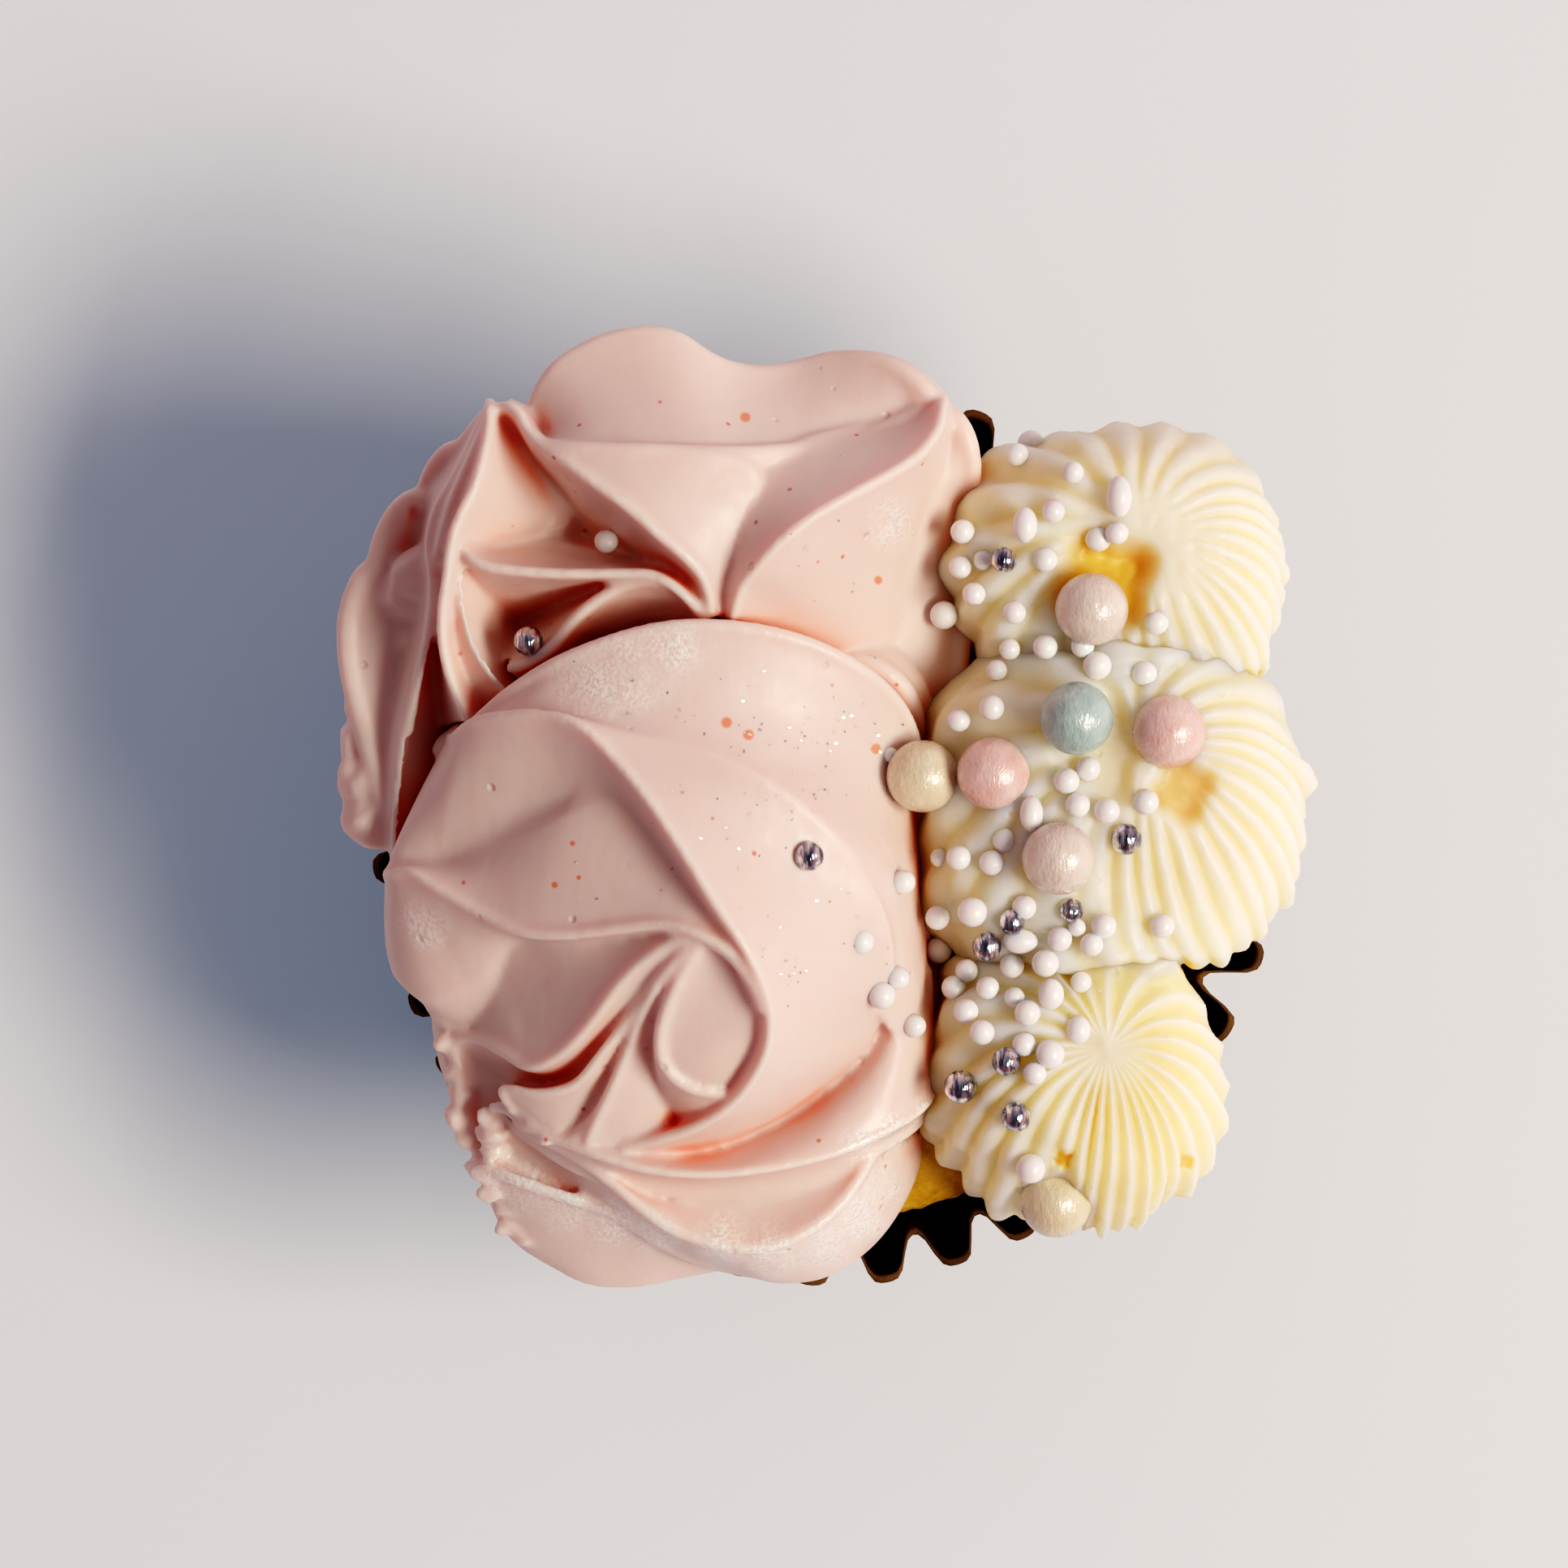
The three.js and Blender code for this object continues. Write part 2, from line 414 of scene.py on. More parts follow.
def front_rim(rosette):
    """The long crest that winds from the left side round to the heart."""
    rim = [
        (555, 903, 50), (580, 885, 53), (620, 877, 55.5), (680, 878, 58), (720, 895, 59.5),
        (760, 935, 60.2), (800, 985, 61.4), (840, 1045, 62.4), (880, 1110, 62.9), (920, 1170, 62.4),
        (943, 1220, 61), (950, 1255, 59.7), (945, 1295, 58.2), (925, 1335, 56.5), (895, 1368, 54.9),
        (850, 1394, 53.3), (805, 1409, 52), (765, 1416, 50.8)]
    outside = [
        (1088, 1120, 55.2), (1102, 1180, 53.4), (1096, 1225, 51.8), (1083, 1262, 50),
        (1060, 1302, 48.5), (1018, 1341, 47.5), (970, 1374, 47.3), (925, 1397, 47.5), (878, 1414, 48),
        (830, 1422, 48.6), (785, 1424, 49.2)]
    inside = [
        (935, 1262, 57.8), (922, 1295, 55.6), (893, 1342, 52.9), (850, 1377, 51.5), (808, 1397, 50.7),
        (770, 1404, 50)]
    rosette.steep(rim, LIP_STEP[:8] + outside, SCOOP + inside, tip=0.42,
                  bow=((1.25, 1.25, 1.25, 1.25, 0.9, 0.7), (0.8, 0.9, 3.0, 2.8, 1.7, 1.6)))


def front_second_and_third(rosette):
    second = [
        (475, 1075, 46.8), (500, 1072, 48.8), (530, 1090, 50.3), (590, 1125, 52.6), (640, 1147, 54.6),
        (700, 1150, 56.6), (760, 1143, 58.5), (820, 1138, 60.3), (860, 1150, 61.3), (900, 1175, 61.6),
        (930, 1215, 61), (943, 1248, 59.8)]
    rosette.steep(second, SCOOP, BELOW_SECOND, bow=(1.5, (0.34, 0.4, 0.85, 1.5, 1.7, 1.6)))
    third = [
        (550, 1284, 43.5), (580, 1280, 45.5), (615, 1297, 48.3), (650, 1316, 50.5), (690, 1298, 52.5),
        (730, 1255, 55), (760, 1215, 57), (790, 1185, 58.5), (830, 1160, 60), (870, 1155, 61),
        (900, 1172, 61.5)]
    rosette.steep(third, BELOW_SECOND[:8], BELOW_THIRD, bow=(1.8, 1.5))


def front_petals(rosette):
    """Two narrow petals that run down from the heart."""
    left = [
        (630, 1374, 48.2), (614, 1345, 48.6), (628, 1343, 49.4), (650, 1348, 50.4), (680, 1347, 51.3),
        (706, 1338, 52), (736, 1303, 53.6), (765, 1266, 55.1), (800, 1222, 57), (835, 1180, 59.2)]
    rosette.fold(left, BELOW_THIRD, CREVICE, tip=0.35, bow=(1.4, 0.55))
    right = [
        (722, 1410, 50.8), (733, 1383, 51.7), (752, 1343, 53), (770, 1300, 54.2), (785, 1262, 55.7),
        (798, 1232, 57.1), (815, 1202, 58.7), (846, 1170, 60.2)]
    below = [
        (800, 1416, 49.8), (828, 1390, 50.2), (826, 1352, 51), (811, 1316, 52), (803, 1283, 53.5),
        (807, 1248, 55.6), (820, 1213, 57.8), (851, 1172, 60)]
    rosette.fold(right, CREVICE, below, tip=0.4, bow=(1.2, 0.55))


def front_heart_petal(rosette):
    """The curled petal in the heart."""
    petal = [
        (860, 1164, 60.6), (838, 1203, 59.2), (821, 1242, 58), (812, 1278, 57), (815, 1308, 56.2),
        (829, 1328, 55.6), (851, 1342, 55.2), (878, 1348, 54.8), (898, 1346, 54.4), (909, 1337, 53.4)]
    outside = [
        (852, 1170, 59.8), (823, 1212, 57.6), (808, 1250, 55.4), (803, 1285, 53.4), (808, 1328, 52.2),
        (822, 1362, 51.5), (849, 1384, 51.2), (882, 1390, 51.4), (908, 1376, 52), (924, 1354, 52.6)]
    inside = [
        (880, 1172, 59.6), (908, 1203, 58.9), (925, 1240, 58.2), (928, 1270, 57.4), (922, 1293, 56.4),
        (915, 1308, 55.6), (910, 1318, 55), (908, 1324, 54.5), (910, 1328, 54), (916, 1330, 53.5)]
    rosette.fold(petal, outside, inside, tip=0.5, bow=(1.2, 2.2))


def front_band(rosette):
    """The crest that crosses below the heart."""
    band = [
        (640, 1388, 48), (690, 1410, 49.9), (740, 1428, 51.2), (802, 1445, 52), (878, 1450, 52.2),
        (972, 1438, 51.8), (1043, 1419, 50.9), (1104, 1391, 49.3), (1140, 1368, 47.2), (1158, 1345, 45)]
    above = [
        (640, 1370, 47.6), (690, 1396, 49.2), (740, 1408, 49.8), (800, 1414, 49.2), (862, 1410, 47.8),
        (925, 1392, 46.6), (985, 1360, 46.2), (1035, 1322, 46.8), (1070, 1284, 47.6),
        (1092, 1248, 48.2), (1118, 1215, 47.6), (1150, 1190, 45.5)]
    below = [
        (625, 1392, 45), (670, 1425, 46), (710, 1448, 47), (760, 1462, 47.4), (850, 1476, 47.6),
        (950, 1472, 47.6), (1020, 1452, 47.4), (1065, 1432, 46.8), (1105, 1412, 45.6), (1135, 1390, 44),
        (1150, 1368, 43)]
    rosette.fold(band, above, below, tip=0.35, bow=((0.9, 0.6, 0.35, 0.3), 2.2))


def front_outer_fold(rosette):
    outer = [
        (600, 1366, 45.4), (616, 1366, 46.2), (630, 1376, 46.8), (652, 1399, 47.5), (690, 1419, 48.2),
        (725, 1441, 48.8), (760, 1468, 49.1), (790, 1494, 49.3), (830, 1520, 49.3), (880, 1538, 49.2),
        (935, 1543, 49), (988, 1526, 48.8), (1034, 1492, 48.3), (1062, 1455, 47.7), (1080, 1425, 46.9),
        (1094, 1405, 46)]
    above = [
        (630, 1385, 45), (645, 1400, 45.5), (665, 1420, 46), (690, 1436, 46.6), (730, 1456, 47),
        (790, 1474, 47.2), (870, 1484, 47.3), (950, 1476, 47.2), (1020, 1454, 47), (1060, 1432, 46.5),
        (1100, 1410, 45.5)]
    below = [
        (594, 1398, 41.8), (612, 1402, 42.3), (632, 1414, 42.8), (660, 1434, 43.2), (700, 1466, 43.6),
        (745, 1498, 43.8), (790, 1527, 43.2), (850, 1558, 41.5), (915, 1573, 39.5), (972, 1579, 38),
        (1022, 1571, 37), (1070, 1540, 37), (1105, 1498, 37), (1132, 1443, 37), (1143, 1390, 37)]
    rosette.fold(outer, above, below, tip=0.5, bow=(1.8, (1.6, 1.4, 1.3, 0.7, 0.6, 0.6)))


def front_skirt(rosette):
    skirt = [
        (594, 1443, 43.3), (623, 1454, 44.4), (665, 1470, 45), (712, 1485, 45), (764, 1501, 44.5),
        (820, 1527, 43.4), (880, 1554, 41.6)]
    above = [
        (606, 1402, 42), (650, 1420, 42.4), (700, 1454, 42.8), (750, 1486, 43), (800, 1514, 42.6),
        (848, 1538, 41.8), (898, 1558, 40.3)]
    below = [
        (597, 1462, 38), (614, 1507, 37.5), (637, 1535, 37), (679, 1562, 37), (726, 1584, 37),
        (783, 1587, 37), (840, 1576, 37), (890, 1565, 37)]
    rosette.fold(skirt, above, below, tip=0.7, bow=(1.2, 0.6))


# Lumps along the torn end, with their radius in millimetres before they are stretched.
TORN_KNOBS = [
    (552, 1284, 43.3, 1.0), (561, 1296, 42.9, 0.8), (563, 1318, 42.8, 1.1), (566, 1348, 42.4, 0.9),
    (572, 1376, 42, 1.2), (580, 1406, 41.4, 1.0), (590, 1436, 41.2, 1.1), (600, 1378, 44.4, 0.9),
    (604, 1396, 43.8, 1.1), (610, 1416, 42.9, 0.9), (601, 1446, 42.4, 1.2), (606, 1468, 41.4, 1.1),
    (618, 1488, 40.2, 1.0), (632, 1508, 39.2, 1.2), (646, 1524, 38.6, 1.0)]


def front_torn_end(rosette):
    """The ragged left end, where the icing tore off the nozzle."""
    edge = [(557, 1290, 43.9), (559, 1325, 43.4), (563, 1365, 42.8), (573, 1405, 42.2), (588, 1440, 42)]
    inside = [(600, 1300, 42), (607, 1335, 42), (600, 1370, 41.6), (603, 1410, 41.2), (618, 1440, 41)]
    below = at_foot((565, 1290), (570, 1325), (577, 1365), (586, 1405), (600, 1440))
    rosette.fold(edge, inside, below, tip=0.4, bow=(1.2, 1.2), torn=0.9)
    for across, down, height, radius in TORN_KNOBS:
        rosette.knob(across, down, height, radius * 0.8)


# Feet that two folds of the back rosette share.
OUTLINE = [
    (664, 528, 50), (659, 490, 50.5), (680, 452, 51), (715, 427, 51), (755, 411, 51), (800, 405, 51),
    (835, 412, 50.8), (870, 434, 50.4), (905, 449, 49.4), (945, 454, 48.6), (985, 447, 48.2),
    (1030, 435, 48.6), (1070, 434, 49.6), (1110, 447, 50.6), (1147, 476, 51.2), (1166, 498, 50.6)]
RIGHT_SLOPE = [
    (1172, 508, 48), (1166, 550, 48.8), (1150, 600, 49), (1134, 650, 48.8), (1120, 700, 48.2),
    (1108, 760, 47.4), (1090, 810, 46.6), (1055, 835, 45.8)]
CHANNEL = [
    (598, 508, 51.2), (594, 535, 52), (583, 565, 52), (573, 590, 51.8), (561, 615, 51.4),
    (552, 640, 50.8), (545, 665, 50), (540, 700, 48.8), (538, 740, 46.8), (534, 780, 45),
    (533, 820, 43.5), (535, 860, 42.6), (540, 900, 42)]


def back_rosette(material):
    """The rosette that the other lies over."""
    rosette = Rosette(BACK_HEART, BACK_MIDDLE)
    back_shoulder(rosette)
    back_first_and_second(rosette)
    back_right_side(rosette)
    back_hollow_wall(rosette)
    back_third_and_fourth(rosette)
    back_left_fold(rosette)
    back_cheek(rosette)
    back_fillings(rosette)
    return rosette.finished("pink_rosette_back_icing", material, half_widths=(21, 17), rise=8)


def back_shoulder(rosette):
    """The two broad swells along the far side, and the icing's edge below them."""
    shoulder = [
        (668, 548, 56.2), (700, 551, 57.2), (740, 553, 57.8), (800, 554, 58.1), (880, 557, 57.4),
        (940, 556, 55.6), (1000, 550, 53.4), (1050, 540, 52), (1095, 526, 51.4), (1135, 508, 51.2),
        (1162, 494, 51)]
    inside = [
        (680, 572, 55), (710, 585, 55.8), (760, 592, 56.2), (830, 595, 56.2), (900, 597, 55.8),
        (950, 590, 54.6), (1005, 570, 52.8), (1060, 550, 51), (1110, 530, 49.4), (1158, 503, 47.5)]
    rosette.fold(shoulder, OUTLINE, inside, tip=0.9, bow=((2.0, 1.9, 1.6, 1.3), 1.0))
    hem = at_foot((690, 525), (685, 490), (700, 462), (730, 445), (765, 435), (800, 430), (835, 436),
                  (870, 453), (905, 468), (945, 474), (990, 466), (1030, 456), (1065, 454), (1100, 470),
                  (1130, 500), (1140, 520))
    above = [
        (690, 520, 50.8), (690, 490, 50.8), (705, 465, 51), (735, 448, 51), (765, 438, 51),
        (800, 433, 51), (835, 439, 50.8), (870, 457, 50.4), (905, 472, 49.4), (945, 478, 48.8),
        (990, 470, 48.4), (1030, 460, 48.8), (1065, 458, 49.6), (1100, 474, 50.4), (1132, 500, 50.8),
        (1150, 515, 50.6)]
    rosette.fold(OUTLINE, hem, above, tip=0.8, bow=(1.3, 1.0))


def back_first_and_second(rosette):
    """The two crests that meet at the heart from the left and from the right."""
    first = [
        (609, 499, 52.4), (622, 497, 53.2), (636, 506, 54), (647, 527, 54.9), (662, 543, 56),
        (697, 567, 57.6), (738, 597, 58.6), (776, 625, 59.1), (813, 658, 59.1), (843, 683, 58.7),
        (864, 706, 58), (875, 735, 57), (878, 762, 56.3)]
    outside = [
        (625, 488, 48), (648, 500, 49.5), (662, 530, 54.4), (690, 549, 57), (760, 554, 57.9),
        (860, 558, 57.8), (915, 566, 57), (935, 590, 56.6), (922, 628, 56.6), (908, 668, 56.6),
        (898, 710, 56.2), (888, 762, 55.4)]
    hollow = [
        (605, 512, 48.8), (622, 530, 48.2), (652, 563, 47.4), (688, 603, 46.8), (713, 638, 46.8),
        (745, 666, 47.8), (788, 689, 50), (835, 710, 53), (872, 755, 55.6)]
    rosette.fold(first, outside, hollow, tip=0.45, bow=(1.2, (1.3, 1.7, 1.8)))
    second = [
        (1166, 494, 51.8), (1160, 525, 53.8), (1138, 556, 55.8), (1100, 582, 57.6), (1055, 606, 59),
        (1003, 636, 60), (965, 666, 60.2), (938, 694, 59.6), (915, 724, 58.3), (903, 765, 56.8)]
    trough = [
        (1158, 503, 49.4), (1100, 515, 50.2), (1040, 526, 51.4), (975, 546, 53.4), (920, 588, 55.4),
        (900, 645, 56.2), (892, 705, 55.8), (888, 762, 55)]
    rosette.steep(second, RIGHT_SLOPE, trough, tip=0.45, bow=((1.0, 0.9, 0.9), (1.3, 1.3, 1.5)))


def back_right_side(rosette):
    side = [
        (1164, 496, 49), (1188, 514, 49.4), (1203, 545, 49.2), (1208, 580, 48.2), (1204, 620, 46.6),
        (1198, 680, 45.4), (1196, 740, 44.8), (1194, 800, 44.4), (1184, 860, 43.8), (1160, 910, 43)]
    below = at_foot((1170, 505), (1192, 525), (1203, 550), (1206, 585), (1204, 620), (1200, 680),
                    (1200, 740), (1198, 800), (1188, 860), (1165, 910))
    rosette.fold(side, below, RIGHT_SLOPE, tip=0.9, bow=(1.2, (1.0, 0.8)))
    cushion = [
        (1030, 815, 49.3), (1080, 822, 49.6), (1115, 845, 49), (1133, 880, 47.3), (1138, 930, 45)]
    inside = [(1020, 850, 46), (1070, 855, 46), (1100, 875, 45.5), (1115, 905, 44), (1120, 940, 42)]
    outside = [(1040, 790, 47), (1095, 795, 46.8), (1135, 830, 46), (1152, 870, 44.5), (1158, 920, 42)]
    rosette.fold(cushion, inside, outside, tip=0.9, bow=(1.0, 0.8))


def back_hollow_wall(rosette):
    """The left wall of the hollow, with the finer folds that run down along it."""
    wall = [
        (600, 497, 52.6), (600, 520, 53.4), (596, 545, 54.1), (590, 570, 54.6), (581, 600, 54.9),
        (567, 627, 54.9), (558, 648, 54.7), (552, 672, 54.4), (547, 710, 53.8), (541, 750, 53),
        (541, 790, 52.2), (547, 822, 51.5), (557, 852, 50.8), (574, 893, 50)]
    inside = [
        (605, 512, 49.4), (622, 537, 48.8), (655, 573, 48), (690, 612, 47.4), (700, 642, 47.4),
        (655, 662, 48), (605, 678, 49.6), (574, 702, 51.6), (561, 735, 52), (556, 775, 51.2),
        (563, 812, 50.2), (580, 848, 49.2), (602, 882, 48.2)]
    rosette.steep(wall, CHANNEL, inside, tip=0.4, bow=(1.3, (1.5, 2.2, 1.5)))
    rib = [
        (599, 503, 52.3), (590, 532, 52.8), (577, 563, 52.8), (565, 590, 52.6), (553, 618, 52.2),
        (545, 645, 51.6), (536, 678, 50.6), (532, 706, 49.4)]
    outside = [
        (594, 505, 50.6), (578, 540, 50.8), (564, 570, 50.6), (551, 597, 50.4), (539, 622, 50.2),
        (531, 650, 49.8), (526, 682, 49), (528, 712, 48)]
    rosette.fold(rib, CHANNEL[:8], outside, tip=0.3, bow=(1.2, 1.2))
    fine = [
        (566, 680, 53.3), (565, 715, 53), (568, 750, 52.5), (577, 788, 51.9), (596, 822, 51.4),
        (620, 852, 50.8), (642, 877, 50.3)]
    left = [
        (556, 690, 52), (553, 720, 52), (555, 755, 51.4), (564, 800, 50.2), (582, 845, 49.2),
        (603, 872, 48.6), (624, 892, 48)]
    right = [
        (590, 695, 51), (592, 730, 49.5), (598, 770, 48.5), (612, 800, 47.8), (632, 828, 47.5),
        (652, 852, 47.3), (668, 870, 47)]
    rosette.fold(fine, left, right, tip=0.35, bow=(1.3, 1.2))


def back_third_and_fourth(rosette):
    """The folds in the bottom of the hollow."""
    third = [
        (577, 655, 52.6), (569, 668, 53.4), (574, 685, 54.2), (594, 696, 54.8), (640, 703, 55.4),
        (691, 706, 55.9), (770, 706, 56.4), (800, 707, 56.6), (826, 719, 56.9), (850, 740, 56.7),
        (872, 763, 56.2)]
    above = [
        (600, 652, 50), (604, 665, 49.6), (620, 670, 48.8), (648, 668, 48), (680, 666, 47.6),
        (725, 676, 48.2), (780, 692, 50.4), (825, 700, 53), (855, 722, 54.8), (874, 755, 55.5)]
    below = [
        (572, 695, 51.5), (588, 722, 49.5), (608, 746, 47), (640, 755, 45.5), (690, 745, 45.5),
        (730, 729, 47.5), (775, 718, 50), (812, 716, 52.5), (846, 740, 54.5), (868, 762, 55.3)]
    rosette.fold(third, above, below, tip=0.42, bow=(1.8, 1.1))
    fourth = [
        (622, 826, 50.5), (645, 819, 51.5), (679, 797, 52.8), (702, 768, 53.8), (736, 738, 54.8),
        (770, 721, 55.5), (805, 716, 56.2), (839, 727, 56.5), (866, 760, 56.2)]
    above = [
        (610, 805, 46), (635, 782, 45.3), (665, 762, 45.3), (700, 739, 46.8), (740, 724, 49),
        (775, 717, 51), (808, 713, 53.5), (843, 723, 55), (868, 757, 55.5)]
    below = [
        (655, 860, 46.5), (692, 832, 46.3), (720, 806, 46.8), (748, 782, 48.3), (782, 766, 50),
        (812, 758, 51.7), (840, 757, 53.3), (868, 768, 54.5)]
    rosette.fold(fourth, above, below, tip=0.45, bow=(1.3, 1.2))


def back_left_fold(rosette):
    left = [
        (600, 498, 52), (585, 530, 51.6), (571, 560, 51.6), (558, 585, 51.3), (546, 605, 51),
        (534, 627, 50.6), (526, 655, 50), (525, 685, 49.7), (529, 710, 49.5), (530, 740, 49.2),
        (525, 780, 48.7), (517, 822, 48), (506, 865, 47), (495, 905, 46), (489, 950, 45),
        (485, 995, 44.2), (483, 1035, 43.4), (484, 1078, 42.8)]
    inside = [
        (594, 505, 50.6), (578, 540, 50.6), (564, 570, 50.4), (551, 597, 50.2), (539, 622, 50),
        (532, 650, 49.4), (531, 680, 48.6), (535, 712, 47.6), (535, 745, 46.4), (533, 780, 45.2),
        (531, 820, 44.3), (529, 865, 43.8), (523, 905, 43.5), (514, 950, 43.2), (506, 1000, 42.6),
        (499, 1040, 42), (498, 1080, 41.5)]
    outside = [
        (590, 508, 48.6), (560, 552, 47), (540, 580, 46.4), (526, 612, 46.4), (517, 645, 45.4),
        (509, 675, 44.4), (505, 705, 43.6), (503, 740, 43.3), (499, 785, 43), (492, 825, 42.8),
        (484, 868, 42.6), (477, 910, 42.4), (474, 955, 42.2), (474, 1000, 42), (478, 1040, 41.8),
        (482, 1080, 41.6)]
    rosette.fold(left, inside, outside, tip=0.4, bow=(1.3, (1.3, 1.3, 1.0, 1.0)))


def back_cheek(rosette):
    """The outermost folds on the left side."""
    cheek = [
        (522, 629, 46.4), (512, 617, 46.8), (500, 613, 46.8), (484, 624, 46.5), (468, 648, 46),
        (459, 672, 45.5), (453, 694, 45), (438, 708, 44.7), (426, 732, 44.3), (418, 762, 43.8),
        (417, 795, 43.4), (421, 832, 43.1), (429, 868, 42.8), (440, 906, 42.5), (453, 960, 42.3),
        (468, 1008, 42), (481, 1042, 41.8), (484, 1080, 41.6)]
    inside = [
        (530, 640, 46), (524, 638, 45.6), (518, 645, 45.2), (512, 662, 44.6), (508, 682, 44),
        (505, 705, 43.6), (503, 740, 43.3), (499, 785, 43), (492, 825, 42.8), (484, 868, 42.6),
        (477, 910, 42.4), (474, 955, 42.2), (475, 1000, 42.4), (480, 1040, 42), (486, 1080, 41.6)]
    below = at_foot((535, 640), (520, 640), (505, 640), (490, 655), (478, 680), (466, 702), (452, 722),
                    (444, 755), (443, 795), (446, 830), (453, 870), (463, 905), (473, 960), (486, 1008),
                    (497, 1042), (500, 1080))
    rosette.fold(cheek, inside, below, tip=1.0, bow=((0.8, 0.9, 0.8), 1.2))
    corner = [
        (590, 512, 50), (580, 525, 49.4), (561, 547, 48.4), (545, 552, 47.6), (528, 571, 46.6),
        (518, 594, 45.9), (516, 615, 45.5), (523, 630, 45.4)]
    inside = [
        (588, 530, 49.4), (575, 552, 48.6), (563, 570, 47.8), (550, 586, 47.2), (540, 600, 46.6),
        (534, 615, 46.2), (532, 628, 46), (534, 640, 45.8)]
    below = at_foot((600, 530), (588, 548), (572, 566), (555, 575), (540, 590), (533, 603), (532, 620),
                    (538, 638))
    rosette.fold(corner, inside, below, tip=0.8, bow=(1.0, 1.3))


# Where gaps lie under the left side's folds, with a knob's radius for each.
GAPS = [(505, 705, 39.9, 2.6), (503, 745, 39.9, 2.6), (499, 790, 39.9, 2.6), (492, 830, 39.9, 2.6),
        (484, 870, 39.9, 2.6), (477, 912, 39.9, 2.6), (475, 958, 39.9, 2.6), (480, 1004, 39.9, 2.6),
        (541, 722, 43.4, 3.4), (538, 708, 45.6, 2.4), (536, 775, 41.5, 3.2), (506, 868, 40.5, 2.6),
        (622, 815, 43, 2.6)]


def back_fillings(rosette):
    for gap in GAPS:
        rosette.knob(*gap)
    thin_lip = [(534, 722, 48.7), (532, 737, 48.4), (528, 773, 47.8), (523, 797, 47.4),
                (516, 827, 46.9), (512, 849, 46.6), (508, 873, 46.2), (503, 900, 45.8)]
    rosette.thicken(thin_lip, 0.5, 48)


# Shade in the folds

RAYS_PER_POINT = 12
RAY_REACH = 9  # millimetres
RAY_START = 0.15  # millimetres above the skin
GOLDEN_TURN = 0.618034


def ray_fan():
    """How far each ray leans from upright, as a share, and how far round it points."""
    steps = ((step + 0.5) / RAYS_PER_POINT for step in range(RAYS_PER_POINT))
    return [(math.sqrt(k), (k * GOLDEN_TURN) % 1) for k in steps]


def shade_in(pieces):
    """Marks each point of the pieces with how closed in it lies by the icing about it, and
    with how far it stands out from the skin round it."""
    meshes = [piece.data for piece in pieces]
    tree = joined_tree(meshes)
    draw = np.random.default_rng(5)
    for mesh in meshes:
        points = read_all(mesh.vertices, "co", 3)
        normals = read_all(mesh.vertices, "normal", 3)
        edges = read_all(mesh.edges, "vertices", 2, int)
        closed = closed_in(tree, points, normals, draw.random(len(points)))
        mark(mesh, "closed_in", evened(closed, edges, 4))
        around = evened(points, edges, 12)
        stand = np.sum((points - around) * normals, axis=1) / MM
        mark(mesh, "stands_out", evened(stand, edges, 2))


def closed_in(tree, points, normals, offset):
    """0 where nothing stands in front of a point, and 1 where it is buried."""
    across = unit(np.cross(normals, [0.3, 0.2, 0.93]))
    beside = np.cross(normals, across)
    closed = np.zeros(len(points))
    starts = (points + normals * RAY_START * MM).tolist()
    for radius, share in ray_fan():
        turn = (share * 6 + offset) * 2 * math.pi
        rays = (across * (radius * np.cos(turn))[:, None]
                + beside * (radius * np.sin(turn))[:, None]
                + normals * math.sqrt(1 - radius * radius)).tolist()
        for index, (start, ray) in enumerate(zip(starts, rays)):
            distance = tree.ray_cast(start, ray, RAY_REACH * MM)[3]
            if distance is not None:
                closed[index] += 1 - distance / (RAY_REACH * MM)
    return closed / RAYS_PER_POINT


# Yellow stars

# Half the outline of a star seen from the side: how far out, and how high, as shares.
STAR_SIDE = [
    (0, 0.985), (0.12, 0.99), (0.3, 0.985), (0.5, 0.95), (0.7, 0.86), (0.87, 0.66), (0.96, 0.42),
    (1.0, 0.2), (0.985, 0.06), (0.93, 0), (0.8, -0.01)]
COLUMNS_PER_RIB = 12
STAR_ROWS = 76
CORNER_WIDTH = 0.45  # radians
JOIN_WIDTH = 0.75  # radians
JOIN_HEIGHT = 0.93  # how high a star stays where it runs into the next, as a share

